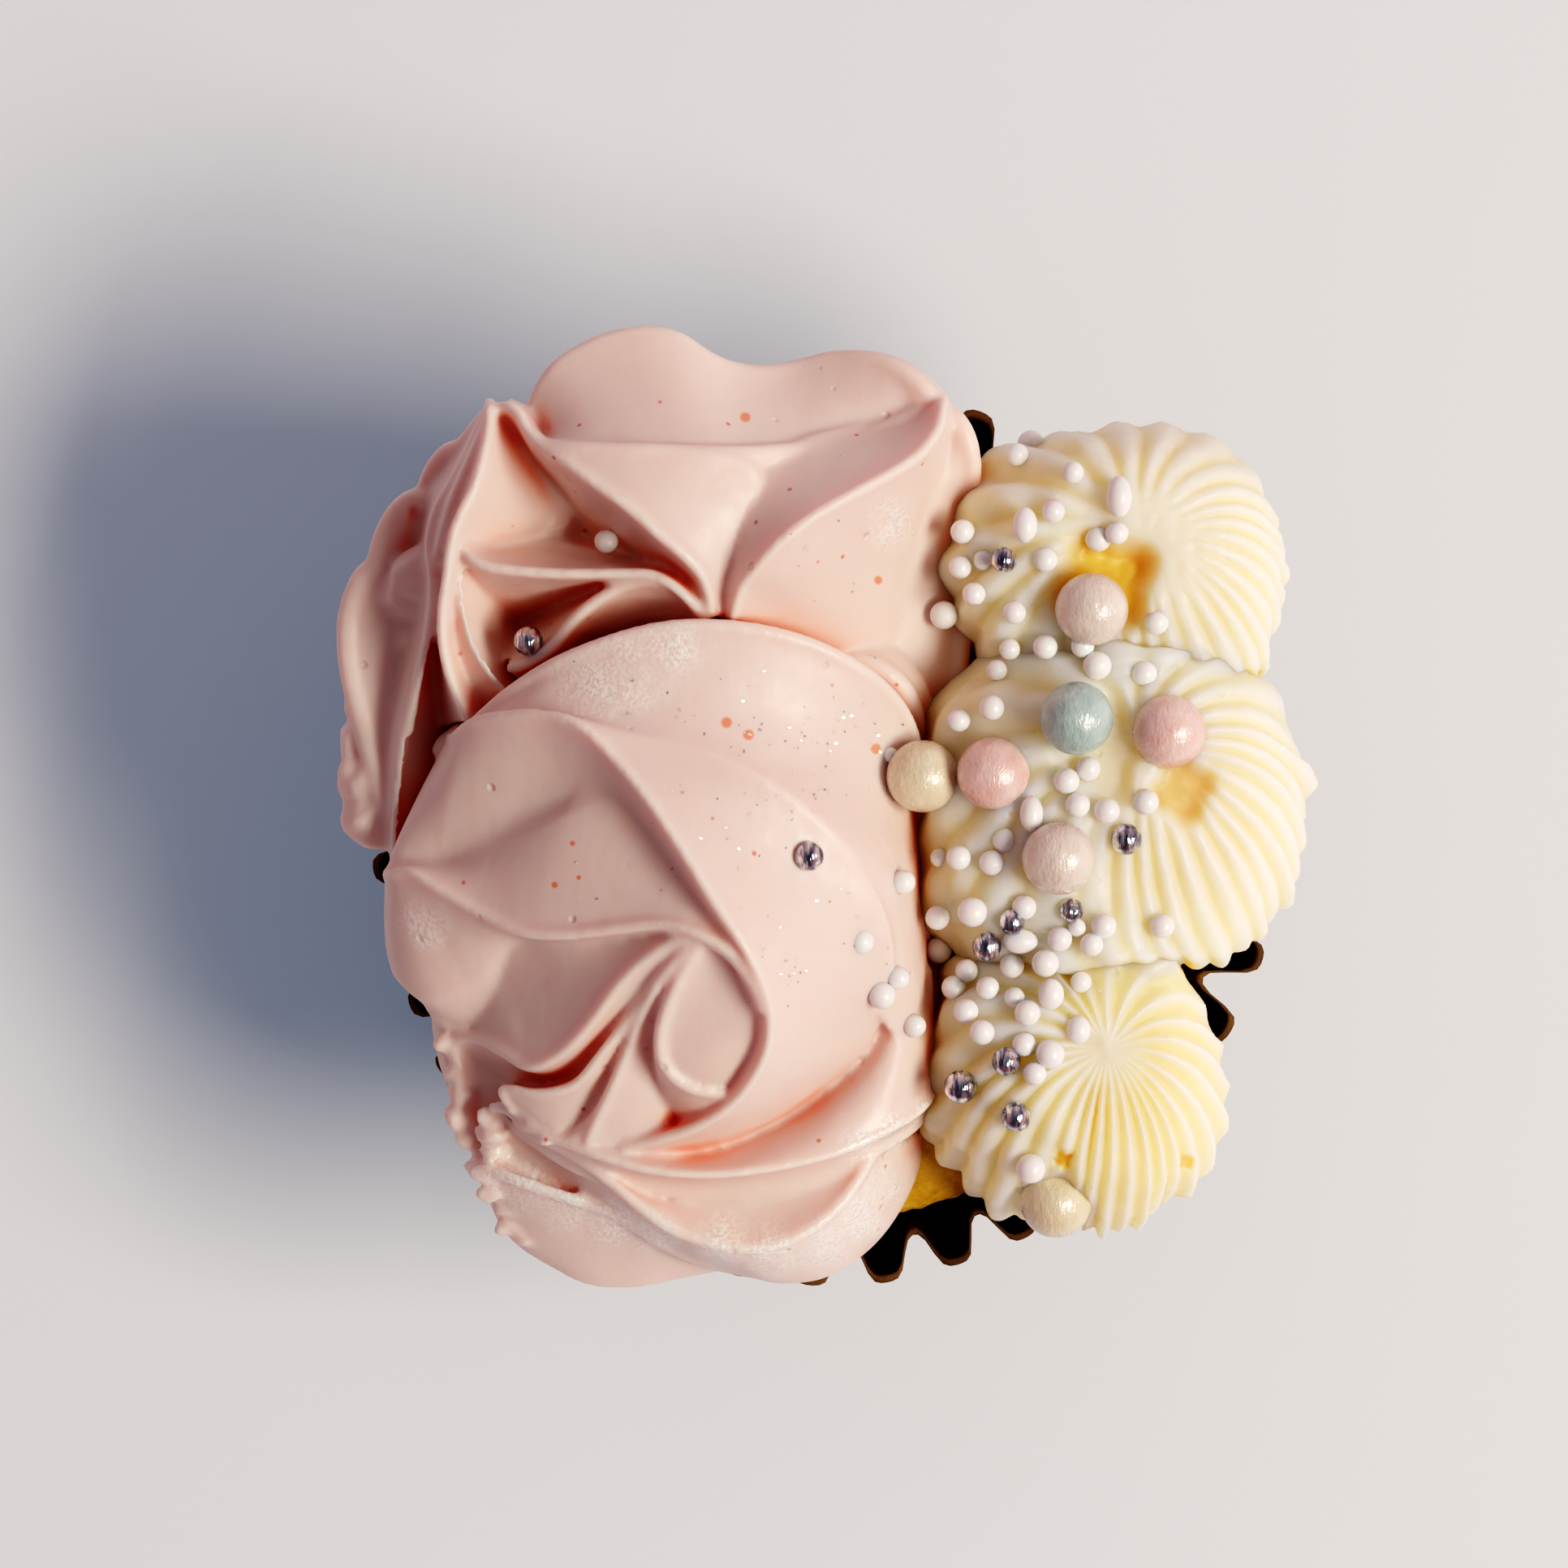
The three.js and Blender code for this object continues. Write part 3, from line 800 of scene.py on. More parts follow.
# Each star: the place of its middle and of its crown, how far it reaches to the right, up,
# to the left and down in millimetres, how square it is and its corners, its height, the ribs
# and how thin they are, where they sweep to and how far, how far they stand out, where the
# crown's smooth part ends, where it runs into the next star, and the gouges in it.
STARS = {
    "yellow_star_back": {
        "middle": (1385, 686, 41),
        "crown": (1410, 664, 53),
        "reach": (13.0, 10.3, 15.9, 11.2),
        "square": 2.15,
        "corners": [(-40, 0.1), (-138, 0.1)],
        "height": 16.5,
        "ribs": 26,
        "thin": 0.1,
        "sweep": -60,
        "bend": 0.5,
        "relief": 0.3,
        "smooth": (0.26, 0.62),
        "joins": [-80],
        "gouges": [(1366, 716, 51, (3.8, 5.4), 4.2, 2.0, 1.0)],
        "seed": 3,
    },
    "yellow_star_middle": {
        "middle": (1402, 988, 41),
        "crown": (1410, 930, 54),
        "reach": (13.6, 12.6, 17.6, 13.4),
        "square": 2.3,
        "corners": [(-142, 0.17), (148, 0.15)],
        "height": 17.5,
        "ribs": 24,
        "thin": 0.15,
        "sweep": -60,
        "bend": 0.52,
        "relief": 0.33,
        "smooth": (0.2, 0.55),
        "joins": [92, -100],
        "gouges": [(1368, 925, 53, (2.4, 4.6), 4.6, 1.2, 0.15),
                   (1455, 972, 53, (2.6, 2.8), 3.0, 1.1, 0.7)],
        "seed": 8,
    },
    "yellow_star_front": {
        "middle": (1345, 1337, 41),
        "crown": (1363, 1293, 52),
        "reach": (10.8, 12.2, 13.4, 11.5),
        "square": 2.15,
        "corners": [(138, 0.14)],
        "height": 15.5,
        "ribs": 26,
        "thin": 1.0,
        "sweep": -90,
        "bend": 0.55,
        "relief": 0.32,
        "smooth": (0.06, 0.4),
        "joins": [75],
        "gouges": [(1310, 1427, 50, (0.8, 0.9), 1.0, 0.9, 1.0),
                   (1460, 1430, 45, (0.7, 0.7), 0.8, 0.5, 0.8),
                   (1300, 1482, 47, (3.0, 3.0), 3.0, 1.9, 0.1)],
        "seed": 5,
    },
}


def per_rib(turn, ribs, low, high, seed):
    """A number drawn for each rib, run evenly from one rib to the next."""
    draw = random.Random(seed)
    drawn = [draw.uniform(low, high) for _ in range(ribs)]
    return np.interp(turn, np.arange(ribs + 1) / ribs * 2 * np.pi, drawn + drawn[:1])


def outline_reach(angle, reach, power):
    """How far a rounded outline reaches at an angle: reach is right, up, left and down, and
    the outline is an ellipse where power is 2, and squarer where it is more."""
    right, up, left, down = reach
    along = np.where(np.cos(angle) > 0, right, left)
    up_or_down = np.where(np.sin(angle) > 0, up, down)
    sides = np.abs(np.cos(angle) / along) ** power + np.abs(np.sin(angle) / up_or_down) ** power
    return sides ** (-1 / power)


def close_to(angle, direction, width):
    """1 in a direction, in degrees, and less to both sides of it."""
    aside = np.angle(np.exp(1j * (angle - math.radians(direction))))
    return np.exp(-(aside / width) ** 2)


def skin_normals(points):
    """Normals of rows of points that run down from a crown and close round it."""
    down = np.gradient(points, axis=0)
    round_it = np.roll(points, -1, axis=1) - np.roll(points, 1, axis=1)
    found = unit(np.cross(down, round_it))
    found[0] = (0, 0, 1)
    return found


def gouged(points, gouges):
    """How deep each point lies in one of the gouges, in mm, and how much painted shade it gets there.
    """
    depth = np.zeros(points.shape[:2])
    gouge_shade = np.zeros(points.shape[:2])
    for across, down, height, (right, left), along, deep, painted_share in gouges:
        x, y, _ = seen(across, down, height)
        aside = points[..., 0] - x
        far = np.hypot(aside / np.where(aside > 0, right, left), (points[..., 1] - y) / along)
        far += 0.12 * np.sin(4 * np.arctan2(points[..., 1] - y, aside) + across)
        share = 1 - smoothstep(0.5, 1.08, far)
        depth = np.maximum(depth, share * deep)
        gouge_shade = np.maximum(gouge_shade, share * painted_share)
    return depth, gouge_shade


def rough(points, scale):
    """Smooth noise at each point: scale is the size of its lumps in mm."""
    flat = [noise.noise(Vector(point) / scale) for point in points.reshape(-1, 3)]
    return np.array(flat).reshape(points.shape[:-1])


def star_directions(look, turn, out):
    """The way out from the crown at each point: the ribs are uneven, and sweep to one side."""
    uneven = turn + 0.05 * np.sin(2 * turn + look["seed"]) + 0.03 * np.sin(5 * turn)
    if look["thin"] < 1:
        uneven = uneven - 0.2 * np.sin(uneven)
    return uneven + look["bend"] * np.sin(math.radians(look["sweep"]) - uneven) * out ** 2


def star_body(look, turn, angle, out, up):
    """A star's points without its ribs, and how far each is joined to the next star."""
    length = per_rib(turn, look["ribs"], 0.935, 1.045, look["seed"] + 1)
    reach = outline_reach(angle, look["reach"], look["square"])
    for corner, further in look["corners"]:
        reach = reach * (1 + further * close_to(angle, corner, CORNER_WIDTH))
    reach = reach * (1 + (length - 1) * smoothstep(0.75, 1, out))
    crown = seen(*look["crown"])
    middle = seen(*look["middle"])
    points = np.zeros(angle.shape + (3,))
    for axis, share in ((0, np.cos(angle)), (1, np.sin(angle))):
        points[..., axis] = crown[axis] + (middle[axis] - crown[axis]) * out ** 1.4
        points[..., axis] += out * reach * share
    joined = np.zeros((1, turn.size))
    for direction in look["joins"]:
        joined = np.maximum(joined, close_to(angle[-8], direction, JOIN_WIDTH))
    joined = joined * smoothstep(0.5, 0.8, out) * smoothstep(0.03, 0.5, up)
    points[..., 2] = FOOT + (up + (JOIN_HEIGHT - up) * joined) * look["height"]
    return points, joined


def rib_wave(look, turn, inward, leftward):
    """1 along a rib and -1 between two: thick and rounded, or a thin crest except to the left."""
    half = look["ribs"] * turn / 2 + 0.25 * np.sin(3 * inward * np.pi + 2 * turn)
    thin = 1 - 2 * np.sqrt(np.sin(half) ** 2 + 0.03)
    thick = 2 * np.sqrt(np.cos(half) ** 2 + 0.05) - 1
    return thick + (thin - thick) * look["thin"] * (1 - leftward)


def star_drop(name, material):
    """A drop of icing from a nozzle with many teeth, whose ribs sweep round its crown."""
    look = STARS[name]
    side = smooth_path([(out, up, 0) for out, up in STAR_SIDE], STAR_ROWS)
    out = side[:, :1]
    up = side[:, 1:2]
    inward = np.linspace(0, 1, STAR_ROWS)[:, None]
    count = look["ribs"] * COLUMNS_PER_RIB
    turn = np.arange(count)[None, :] / count * 2 * np.pi
    angle = star_directions(look, turn, out)
    points, joined = star_body(look, turn, angle, out, up)

    leftward = smoothstep(-0.2, 0.8, -np.cos(angle - 0.3))
    wave = rib_wave(look, turn, inward, leftward)
    depth, gouge_shade = gouged(points, look["gouges"])
    shown = smoothstep(*look["smooth"], out) * (1 - 0.9 * np.clip(depth, 0, 1))
    relief = look["relief"] * per_rib(turn, look["ribs"], 0.7, 1.25, look["seed"]) * shown
    relief = relief * (1 + 0.5 * leftward) * (1 + 0.3 * smoothstep(0.8, 1, inward))
    relief = relief * (1 - 0.4 * joined)
    lumps = 0.5 * rough(points, 3.0) * (0.3 + leftward) + 0.1 * rough(points, 0.7)
    fade = smoothstep(0.0, 0.03, inward) * (1 - smoothstep(0.96, 1, inward))
    points += skin_normals(points) * ((wave * relief + lumps) * fade)[..., None]
    points[..., 2] -= depth * (1 - smoothstep(0.9, 1, inward))
    # the ridge mark sets the colour; it is lowered on the left, which paints shade on the side away
    # from the lamp
    ridge = ((wave + 1) / 2 * shown + 0.75 * (1 - shown)) * (1 - 0.15 * leftward)
    return turned_piece(name + "_icing", points, material, {"ridge": ridge, "gouge_shading": gouge_shade})


# Sugar

PEARL_RADIUS = 2.8
PEARL_DENTS = 0.006  # of the radius


def pearl(node, material):
    """A large sugar pearl where its solid lies."""
    low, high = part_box(node)
    middle = (Vector(low) + Vector(high)) / 2 / MM
    bm = bmesh.new()
    for vert in ball(bm, middle, PEARL_RADIUS, 5):
        from_middle = vert.co - middle * MM
        vert.co += from_middle * PEARL_DENTS * noise.noise(vert.co / (2 * MM))
    return new_piece(node + "_sugar", bm, material)


# Small white sugar balls: their place in the frame, their radius in mm, how far they are
# pressed in, and how they are stretched if they aren't round.
NONPAREILS = [
    (747, 667, 0.93, 0.05), (1271, 532, 1.05, 0.3), (1253, 560, 0.9, 0.25), (1322, 582, 0.85, 0.2),
    (1298, 630, 0.88, 0.2), (1263, 647, 1.0, 0.2, (0.95, 1.4, 1)), (1186, 655, 0.95, 0.2),
    (1376, 657, 0.9, 0.15), (1353, 664, 1.0, 0.35), (1183, 699, 0.9, 0.2), (1213, 690, 0.85, 0.5),
    (1288, 690, 0.95, 0.45), (1200, 732, 0.9, 0.2), (1163, 758, 1.1, 0.1), (1250, 755, 0.9, 0.2),
    (1425, 767, 0.95, 0.45), (1244, 800, 0.82, 0.15), (1288, 797, 0.95, 0.15), (1334, 796, 0.9, 0.2),
    (1352, 820, 1.1, 0.3), (1228, 826, 0.82, 0.2), (1410, 830, 1.0, 0.5), (1222, 872, 0.98, 0.2),
    (1181, 888, 0.9, 0.2), (1097, 930, 0.6, 0.4), (1341, 947, 0.95, 0.2), (1314, 962, 1.0, 0.2),
    (1328, 992, 0.95, 0.2), (1364, 999, 1.0, 0.2), (1412, 988, 1.0, 0.35),
    (1271, 1003, 1.0, 0.3, (0.9, 1.4, 1)), (1238, 1035, 0.95, 0.55), (1181, 1057, 0.95, 0.25),
    (1158, 1057, 0.75, 0.45), (1222, 1063, 0.98, 0.4), (1113, 1087, 0.95, 0.3),
    (1155, 1131, 0.95, 0.15), (1198, 1124, 1.15, 0.1), (1262, 1118, 0.95, 0.2), (1360, 1141, 0.98, 0.3),
    (1432, 1141, 0.95, 0.25), (1157, 1171, 1.05, 0.2), (1257, 1160, 0.95, 0.2, (1.45, 1, 1)),
    (1306, 1157, 0.95, 0.25), (1345, 1164, 0.9, 0.25), (1327, 1143, 0.7, 0.3), (1247, 1190, 0.95, 0.2),
    (1288, 1187, 1.05, 0.15), (1191, 1196, 0.9, 0.2), (1107, 1205, 0.9, 0.3), (1087, 1227, 1.05, 0.3),
    (1061, 1160, 1.0, 0.75), (1175, 1217, 0.95, 0.2), (1217, 1217, 0.9, 0.2), (1332, 1210, 0.82, 0.4),
    (1295, 1225, 1.0, 0.2, (1, 1.2, 1)), (1250, 1229, 0.8, 0.5), (1190, 1246, 0.98, 0.2),
    (1266, 1248, 1.0, 0.2), (1127, 1264, 0.9, 0.3), (1210, 1272, 0.98, 0.2),
    (1329, 1269, 0.92, 0.3, (1, 1.2, 1)), (1262, 1287, 0.92, 0.35), (1294, 1299, 1.12, 0.15),
    (1275, 1323, 0.9, 0.2), (1270, 1440, 1.15, 0.2)]
ELONGATED = (1379, 612, 1.0, 0.1, (1, 1.6, 1.1))

SILVER_BALLS = [
    (1237, 690, 1.0, 0.25), (651, 790, 1.15, 0.1), (997, 1055, 1.12, 0.35), (1388, 1034, 1.2, 0.3),
    (1320, 1122, 0.95, 0.25), (1247, 1136, 1.0, 0.15), (1216, 1166, 1.12, 0.15),
    (1240, 1308, 1.12, 0.2), (1184, 1339, 1.3, 0.15), (1252, 1376, 1.15, 0.2)]
SEARCH_STEPS = 14
SEARCH_REACH = 6  # millimetres


def resting_place(skin, across, down, radius, sunk):
    """The middle, in mm, of a ball that lies on the skin at a place in the frame."""
    eye = Vector(CAMERA_AT) * MM
    ray = (Vector(seen(across, down, 0)) * MM - eye).normalized()
    hit = skin.ray_cast(eye, ray)[0]
    if hit is None:
        return skin.find_nearest(Vector(seen(across, down, 42)) * MM)[0] / MM
    wanted = radius * (1 - 2 * sunk) * MM
    if wanted <= 0:
        return (hit - ray * wanted) / MM
    near = 0.0
    far = SEARCH_REACH * MM
    for _ in range(SEARCH_STEPS):
        half = (near + far) / 2
        if skin.find_nearest(hit - ray * half)[3] < wanted:
            near = half
        else:
            far = half
    return (hit - ray * far) / MM


def scattered(name, places, skin, fineness, material):
    bm = bmesh.new()
    for across, down, radius, sunk, *stretch in places:
        middle = resting_place(skin, across, down, radius, sunk)
        ball(bm, middle, radius, fineness, *stretch)
    return new_piece(name, bm, material)


# The middle of a patch in the frame, its half width and half height, and how many flakes.
GLITTER_PATCHES = [
    ((960, 905), (110, 45), 34), ((1010, 960), (70, 60), 26), ((900, 1030), (70, 90), 22),
    ((960, 1190), (35, 50), 16), ((950, 480), (150, 60), 3), ((1010, 720), (70, 60), 8),
    ((760, 1080), (120, 40), 6), ((1040, 1130), (60, 70), 10), ((800, 860), (90, 40), 8),
    ((1240, 1120), (80, 120), 12), ((1060, 880), (40, 40), 10)]
FLAKE_SIZES = (0.05, 0.12)  # millimetres
FLAKE_THICKNESS = 0.02  # millimetres
FLAKE_TILT = 0.5


def glitter(skin, material):
    """Tiny flakes of glitter that lie in the icing."""
    draw = random.Random(21)
    eye = Vector(CAMERA_AT) * MM
    bm = bmesh.new()
    for (across, down), (wide, high), count in GLITTER_PATCHES:
        for _ in range(count):
            place = seen(draw.gauss(across, wide / 1.5), draw.gauss(down, high / 1.5), 0)
            hit, normal, _, _ = skin.ray_cast(eye, (Vector(place) * MM - eye).normalized())
            size = draw.uniform(*FLAKE_SIZES) * MM
            tilt = Vector([draw.uniform(-FLAKE_TILT, FLAKE_TILT) for _ in range(3)])
            if hit is not None:
                flake(bm, hit, normal, tilt, size)
    return new_piece("glitter_flakes", bm, material, smooth=False)


def flake(bm, place, normal, tilt, size):
    facing = (normal + tilt).normalized().to_track_quat("Z", "Y").to_matrix().to_4x4()
    made = bmesh.ops.create_cone(bm, cap_ends=True, segments=6, radius1=size, radius2=size,
                                 depth=FLAKE_THICKNESS * MM)
    bmesh.ops.scale(bm, verts=made["verts"], vec=(1, 1.7, 1))
    bmesh.ops.transform(bm, verts=made["verts"], matrix=facing)
    bmesh.ops.translate(bm, verts=made["verts"], vec=place + normal * FLAKE_THICKNESS * MM)


# Case and sponge

FLUTES = 38
COLUMNS_PER_FLUTE = 12
PAPER = 0.5  # millimetres

# The case's wall: its radius, its height and how deep its flutes are, in millimetres.
CASE_WALL = [
    (24.3, 0, 0.3), (25, 0.5, 0.5), (25.4, 2, 0.65), (27.3, 9.5, 1.0), (29.5, 18, 1.4),
    (31.7, 27, 1.75), (33.3, 33.5, 2.0), (33.9, 36.6, 2.1)]
WALL_ROWS = 34
BIG_FLAP = math.radians(70.8)  # the direction in which the torn rim reaches furthest


def flute_wave(angle):
    """1 on a flute's rounded tip and -1 in the notch between two, as its wall goes round."""
    left_side = np.exp(-((angle + 2.4) / 0.8) ** 2)
    phase = FLUTES * angle - 2 * math.pi * (0.4 - 0.25 * left_side)
    return np.tanh(1.5 * (np.cos(phase) + 0.35)) / math.tanh(1.5)


def paper_case(material):
    """A pleated paper case: the outside up to the rim, and back down the inside."""
    angle = np.linspace(-np.pi, np.pi, FLUTES * COLUMNS_PER_FLUTE, endpoint=False)
    turn = angle % (2 * np.pi)
    big = np.exp(-((angle - BIG_FLAP) / 0.09) ** 2)
    wave = flute_wave(angle) * (1 - 0.4 * big)
    longer = per_rib(turn, FLUTES, -0.3, 0.4, 11) - 0.9 * np.clip(-np.sin(angle), 0, 1)
    longer = longer + 1.8 * big
    higher = per_rib(turn, FLUTES, -0.5, 0.25, 12)
    crooked = per_rib(turn, FLUTES, -0.012, 0.012, 13)

    def ring(radius, height, flute, share):
        out = radius + flute * wave + longer * share ** 3 * (wave + 1) / 2
        way = angle + crooked * share
        level = height + higher * share ** 2
        return np.stack([out * np.cos(way), out * np.sin(way), level], axis=1)

    wall = smooth_path(CASE_WALL, WALL_ROWS)
    rim_height = CASE_WALL[-1][1]
    rows = [ring(0, 0, 0, 0), ring(12, 0, 0, 0)]
    for radius, height, flute in wall:
        rows.append(ring(radius, height, flute, height / rim_height))
    for radius, height, flute in wall[::-1][:-2]:
        rows.append(ring(radius - PAPER, height + 0.15, flute, height / rim_height))
    rows += [ring(22, PAPER, 0, 0), ring(0, PAPER, 0, 0)]
    return turned_piece("fluted_paper_case", np.array(rows), material)


# The cake's outline from the side: how far out and how high, in millimetres.
SPONGE_SIDE = [
    (0, 43), (6, 42.7), (12, 41.9), (18, 40.6), (24, 39), (28, 37.6), (30, 36.2), (30.5, 34.6),
    (29.9, 32), (28.6, 26), (27.3, 20), (25.6, 10), (23.9, 1.8), (23, 0.95), (0, 0.95)]
SPONGE_ROWS = 96
SPONGE_COLUMNS = 264


def sponge(material):
    """The cake itself: a low dome with a crumb, which fills the case."""
    side = smooth_path([(out, up, 0) for out, up in SPONGE_SIDE], SPONGE_ROWS)
    angle = np.arange(SPONGE_COLUMNS) / SPONGE_COLUMNS * 2 * np.pi
    points = np.zeros((SPONGE_ROWS, SPONGE_COLUMNS, 3))
    points[..., 0] = side[:, :1] * np.cos(angle)
    points[..., 1] = side[:, :1] * np.sin(angle)
    points[..., 2] = side[:, 1:2]
    crumb = 0.35 * rough(points, 2.2) + 0.3 * rough(points, 0.9)
    pores = np.minimum(rough(points + 50, 1.3) + 0.1, 0) * 0.9
    shown = smoothstep(2, 6, side[:, 1:2]) * smoothstep(0, 1, side[:, :1])
    points += skin_normals(points) * ((crumb + pores - 0.15) * shown)[..., None]
    return turned_piece("sponge_cake", points, material)


# Material helpers

def add_node(tree, kind, inputs=None, **settings):
    """A new shader node. inputs holds numbers, colours or sockets to link, by name."""
    made = tree.nodes.new("ShaderNode" + kind)
    for name, value in settings.items():
        setattr(made, name, value)
    for name, value in (inputs or {}).items():
        if isinstance(value, bpy.types.NodeSocket):
            tree.links.new(value, made.inputs[name])
        else:
            made.inputs[name].default_value = value
    return made


def color(red, green, blue):
    return (red, green, blue, 1)


def darker(shade, share):
    return color(*(value * share for value in shade[:3]))


def blend(tree, share, low, high):
    return add_node(tree, "Mix", {0: share, 6: low, 7: high}, data_type="RGBA").outputs[2]


def worked_out(tree, operation, one, other, clamp=False):
    made = add_node(tree, "Math", {0: one, 1: other}, operation=operation, use_clamp=clamp)
    return made.outputs[0]


def times(tree, one, other, clamp=False):
    return worked_out(tree, "MULTIPLY", one, other, clamp)


def plus(tree, one, other):
    return worked_out(tree, "ADD", one, other)


def minus(tree, one, other, clamp=False):
    return worked_out(tree, "SUBTRACT", one, other, clamp)


def ranged(tree, value, low, high, to_low=0.0, to_high=1.0):
    sockets = {"Value": value, "From Min": low, "From Max": high, "To Min": to_low,
               "To Max": to_high}
    return add_node(tree, "MapRange", sockets).outputs[0]


def ramp(tree, share, stops):
    made = add_node(tree, "ValToRGB", {"Fac": share})
    elements = made.color_ramp.elements
    while len(elements) < len(stops):
        elements.new(0.5)
    for element, (place, shade) in zip(elements, stops):
        element.position = place
        element.color = shade
    return made.outputs["Color"]


def object_place(tree):
    return add_node(tree, "TexCoord").outputs["Object"]


def stretched(tree, place, scale):
    return add_node(tree, "Mapping", {"Vector": place, "Scale": scale}).outputs[0]


def clouds(tree, place, scale, detail=2.0, roughness=0.5):
    """Soft noise: scale is how many of its lumps lie in a metre."""
    sockets = {"Vector": place, "Scale": scale, "Detail": detail, "Roughness": roughness}
    return add_node(tree, "TexNoise", sockets).outputs["Fac"]


def picked_dots(tree, scale, radius, share):
    """1 in round dots that lie in some of the cells of a pattern, and 0 between them. scale
    is how many cells lie in a metre, radius where a dot starts and ends to fade, and share
    between which numbers a cell's own has to lie, where more means fewer dots."""
    cells = add_node(tree, "TexVoronoi", {"Vector": object_place(tree), "Scale": scale},
                     feature="F1")
    dot = ranged(tree, cells.outputs["Distance"], *radius, 1, 0)
    return times(tree, dot, ranged(tree, cells.outputs["Color"], *share))


def attribute(tree, name):
    return add_node(tree, "Attribute", attribute_name=name).outputs["Fac"]


def new_group(name, inputs, outputs):
    """An empty shader group with named numbers that go in and come out."""
    group = bpy.data.node_groups.new(name, "ShaderNodeTree")
    for in_out, titles in (("INPUT", inputs), ("OUTPUT", outputs)):
        for title in titles:
            group.interface.new_socket(name=title, in_out=in_out, socket_type="NodeSocketFloat")
    return group, group.nodes.new("NodeGroupInput").outputs, group.nodes.new("NodeGroupOutput")


def use_group(tree, group, **values):
    """A group placed in a material, with values of its own."""
    made = tree.nodes.new("ShaderNodeGroup")
    made.node_tree = group
    for title, value in values.items():
        made.inputs[title.replace("_", " ")].default_value = value
    return made.outputs


def new_material(name, **constants):
    """A material, its node tree and its shader, with constants on the shader's own sockets."""
    material = bpy.data.materials.new(name)
    material.use_nodes = True
    shader = material.node_tree.nodes["Principled BSDF"]
    for title, value in constants.items():
        shader.inputs[title.replace("_", " ")].default_value = value
    return material, material.node_tree, shader


def bumped(tree, shader, height, distance):
    """Gives the shader a relief: distance is its depth in mm where the height is 1."""
    relief = add_node(tree, "Bump", {"Height": height, "Distance": distance * MM, "Strength": 1.0})
    tree.links.new(relief.outputs[0], shader.inputs["Normal"])


def drive(tree, end, **sockets):
    """Links sockets to the inputs of a shader or of a group's end, by name."""
    for title, socket in sockets.items():
        tree.links.new(socket, end.inputs[title.replace("_", " ")])


def nearness(tree, place, size, core=0.3):
    """1 close to a place, seen from above, and 0 from size millimetres away."""
    across, down, _ = seen(*place)
    level = stretched(tree, object_place(tree), (1, 1, 0))
    away = add_node(tree, "VectorMath", {0: level, 1: Vector((across, down, 0)) * MM},
                    operation="DISTANCE").outputs["Value"]
    return ranged(tree, away, size * core * MM, size * MM, 1, 0)


# Shared effects

def icing_surface():
    """Soft waves, fine grain, ripples and a few burst air bubbles in buttercream."""
    group, given, out = new_group("icing_surface", ["Grain", "Ripples", "Pit Depth"],
                                  ["Height", "Tone", "Gloss"])
    place = object_place(group)
    waves = clouds(group, place, 380)
    grain = clouds(group, place, 2600)
    ripples = clouds(group, stretched(group, place, (1500, 500, 900)), 1, 3)
    pits = picked_dots(group, 420, (0.05, 0.16), (0.7, 0.72))
    height = plus(group, times(group, waves, 0.9), times(group, grain, given["Grain"]))
    height = plus(group, height, times(group, ripples, given["Ripples"]))
    height = minus(group, height, times(group, pits, given["Pit Depth"]))
    gloss = ranged(group, clouds(group, place, 700, 3, 0.6), 0.35, 0.65)
    drive(group, out, Height=height, Tone=clouds(group, place, 130, 3, 0.6), Gloss=gloss)
    return group


def fine_fibre():
    """The grain of paper and of cake."""
    group, given, out = new_group("fine_fibre", ["Fine Grain"], ["Height", "Tone"])
    place = object_place(group)
    coarse = clouds(group, place, 500, 4, 0.65)
    fine = clouds(group, place, 2600, 3, 0.6)
    height = plus(group, coarse, times(group, fine, given["Fine Grain"]))
    drive(group, out, Height=height, Tone=clouds(group, place, 220, 4, 0.6))
    return group


def pearl_lustre():
    """The brushed sheen of a polished sugar pearl."""
    group, given, out = new_group("pearl_lustre", ["Brush Scale"], ["Height", "Tone"])
    place = object_place(group)
    brushed = clouds(group, stretched(group, place, (1700, 750, 900)), given["Brush Scale"], 3, 0.7)
    drive(group, out, Height=brushed, Tone=clouds(group, place, 420, 3, 0.6))
    return group


BUTTERCREAM = {"Grain": 0.06, "Ripples": 0.16, "Pit_Depth": 1.6}


# Pink buttercream

# Painted shade: the pink turns darker and redder the more a point is closed in by the folds.
PINK_PAINTED_SHADE_BY_DEPTH = [
    (0.0, color(0.79, 0.66, 0.63)), (0.28, color(0.80, 0.64, 0.60)), (0.45, color(0.82, 0.58, 0.52)),
    (0.62, color(0.84, 0.38, 0.28)), (0.78, color(0.82, 0.22, 0.13)), (0.95, color(0.66, 0.08, 0.035))]
# painted highlight along the crests
PINK_PAINTED_CREST_HIGHLIGHT = color(0.83, 0.74, 0.71)
PINK_MOTTLE = color(0.77, 0.59, 0.54)
PIGMENT = color(0.62, 0.10, 0.05)
ORANGE = color(0.80, 0.24, 0.12)
# painted highlight: whitish grainy glints in the wet places
PAINTED_GLINT_WHITE = color(0.95, 0.92, 0.91)
WET_RELIEF = 3.0
PINK_RELIEF = 0.11  # millimetres

# Where undissolved colour lies in the icing, and how far across, in millimetres.
PIGMENT_BLOTS = [
    ((895, 890, 58.9), 0.52), ((922, 905, 59.2), 0.5), ((706, 1039, 55), 0.25), ((1081, 922, 57), 0.5),
    ((714, 1081, 55), 0.22), ((684, 1090, 54.5), 0.3), ((520, 455, 47), 0.4), ((918, 512, 54), 0.5),
    ((1082, 715, 51), 0.4)]

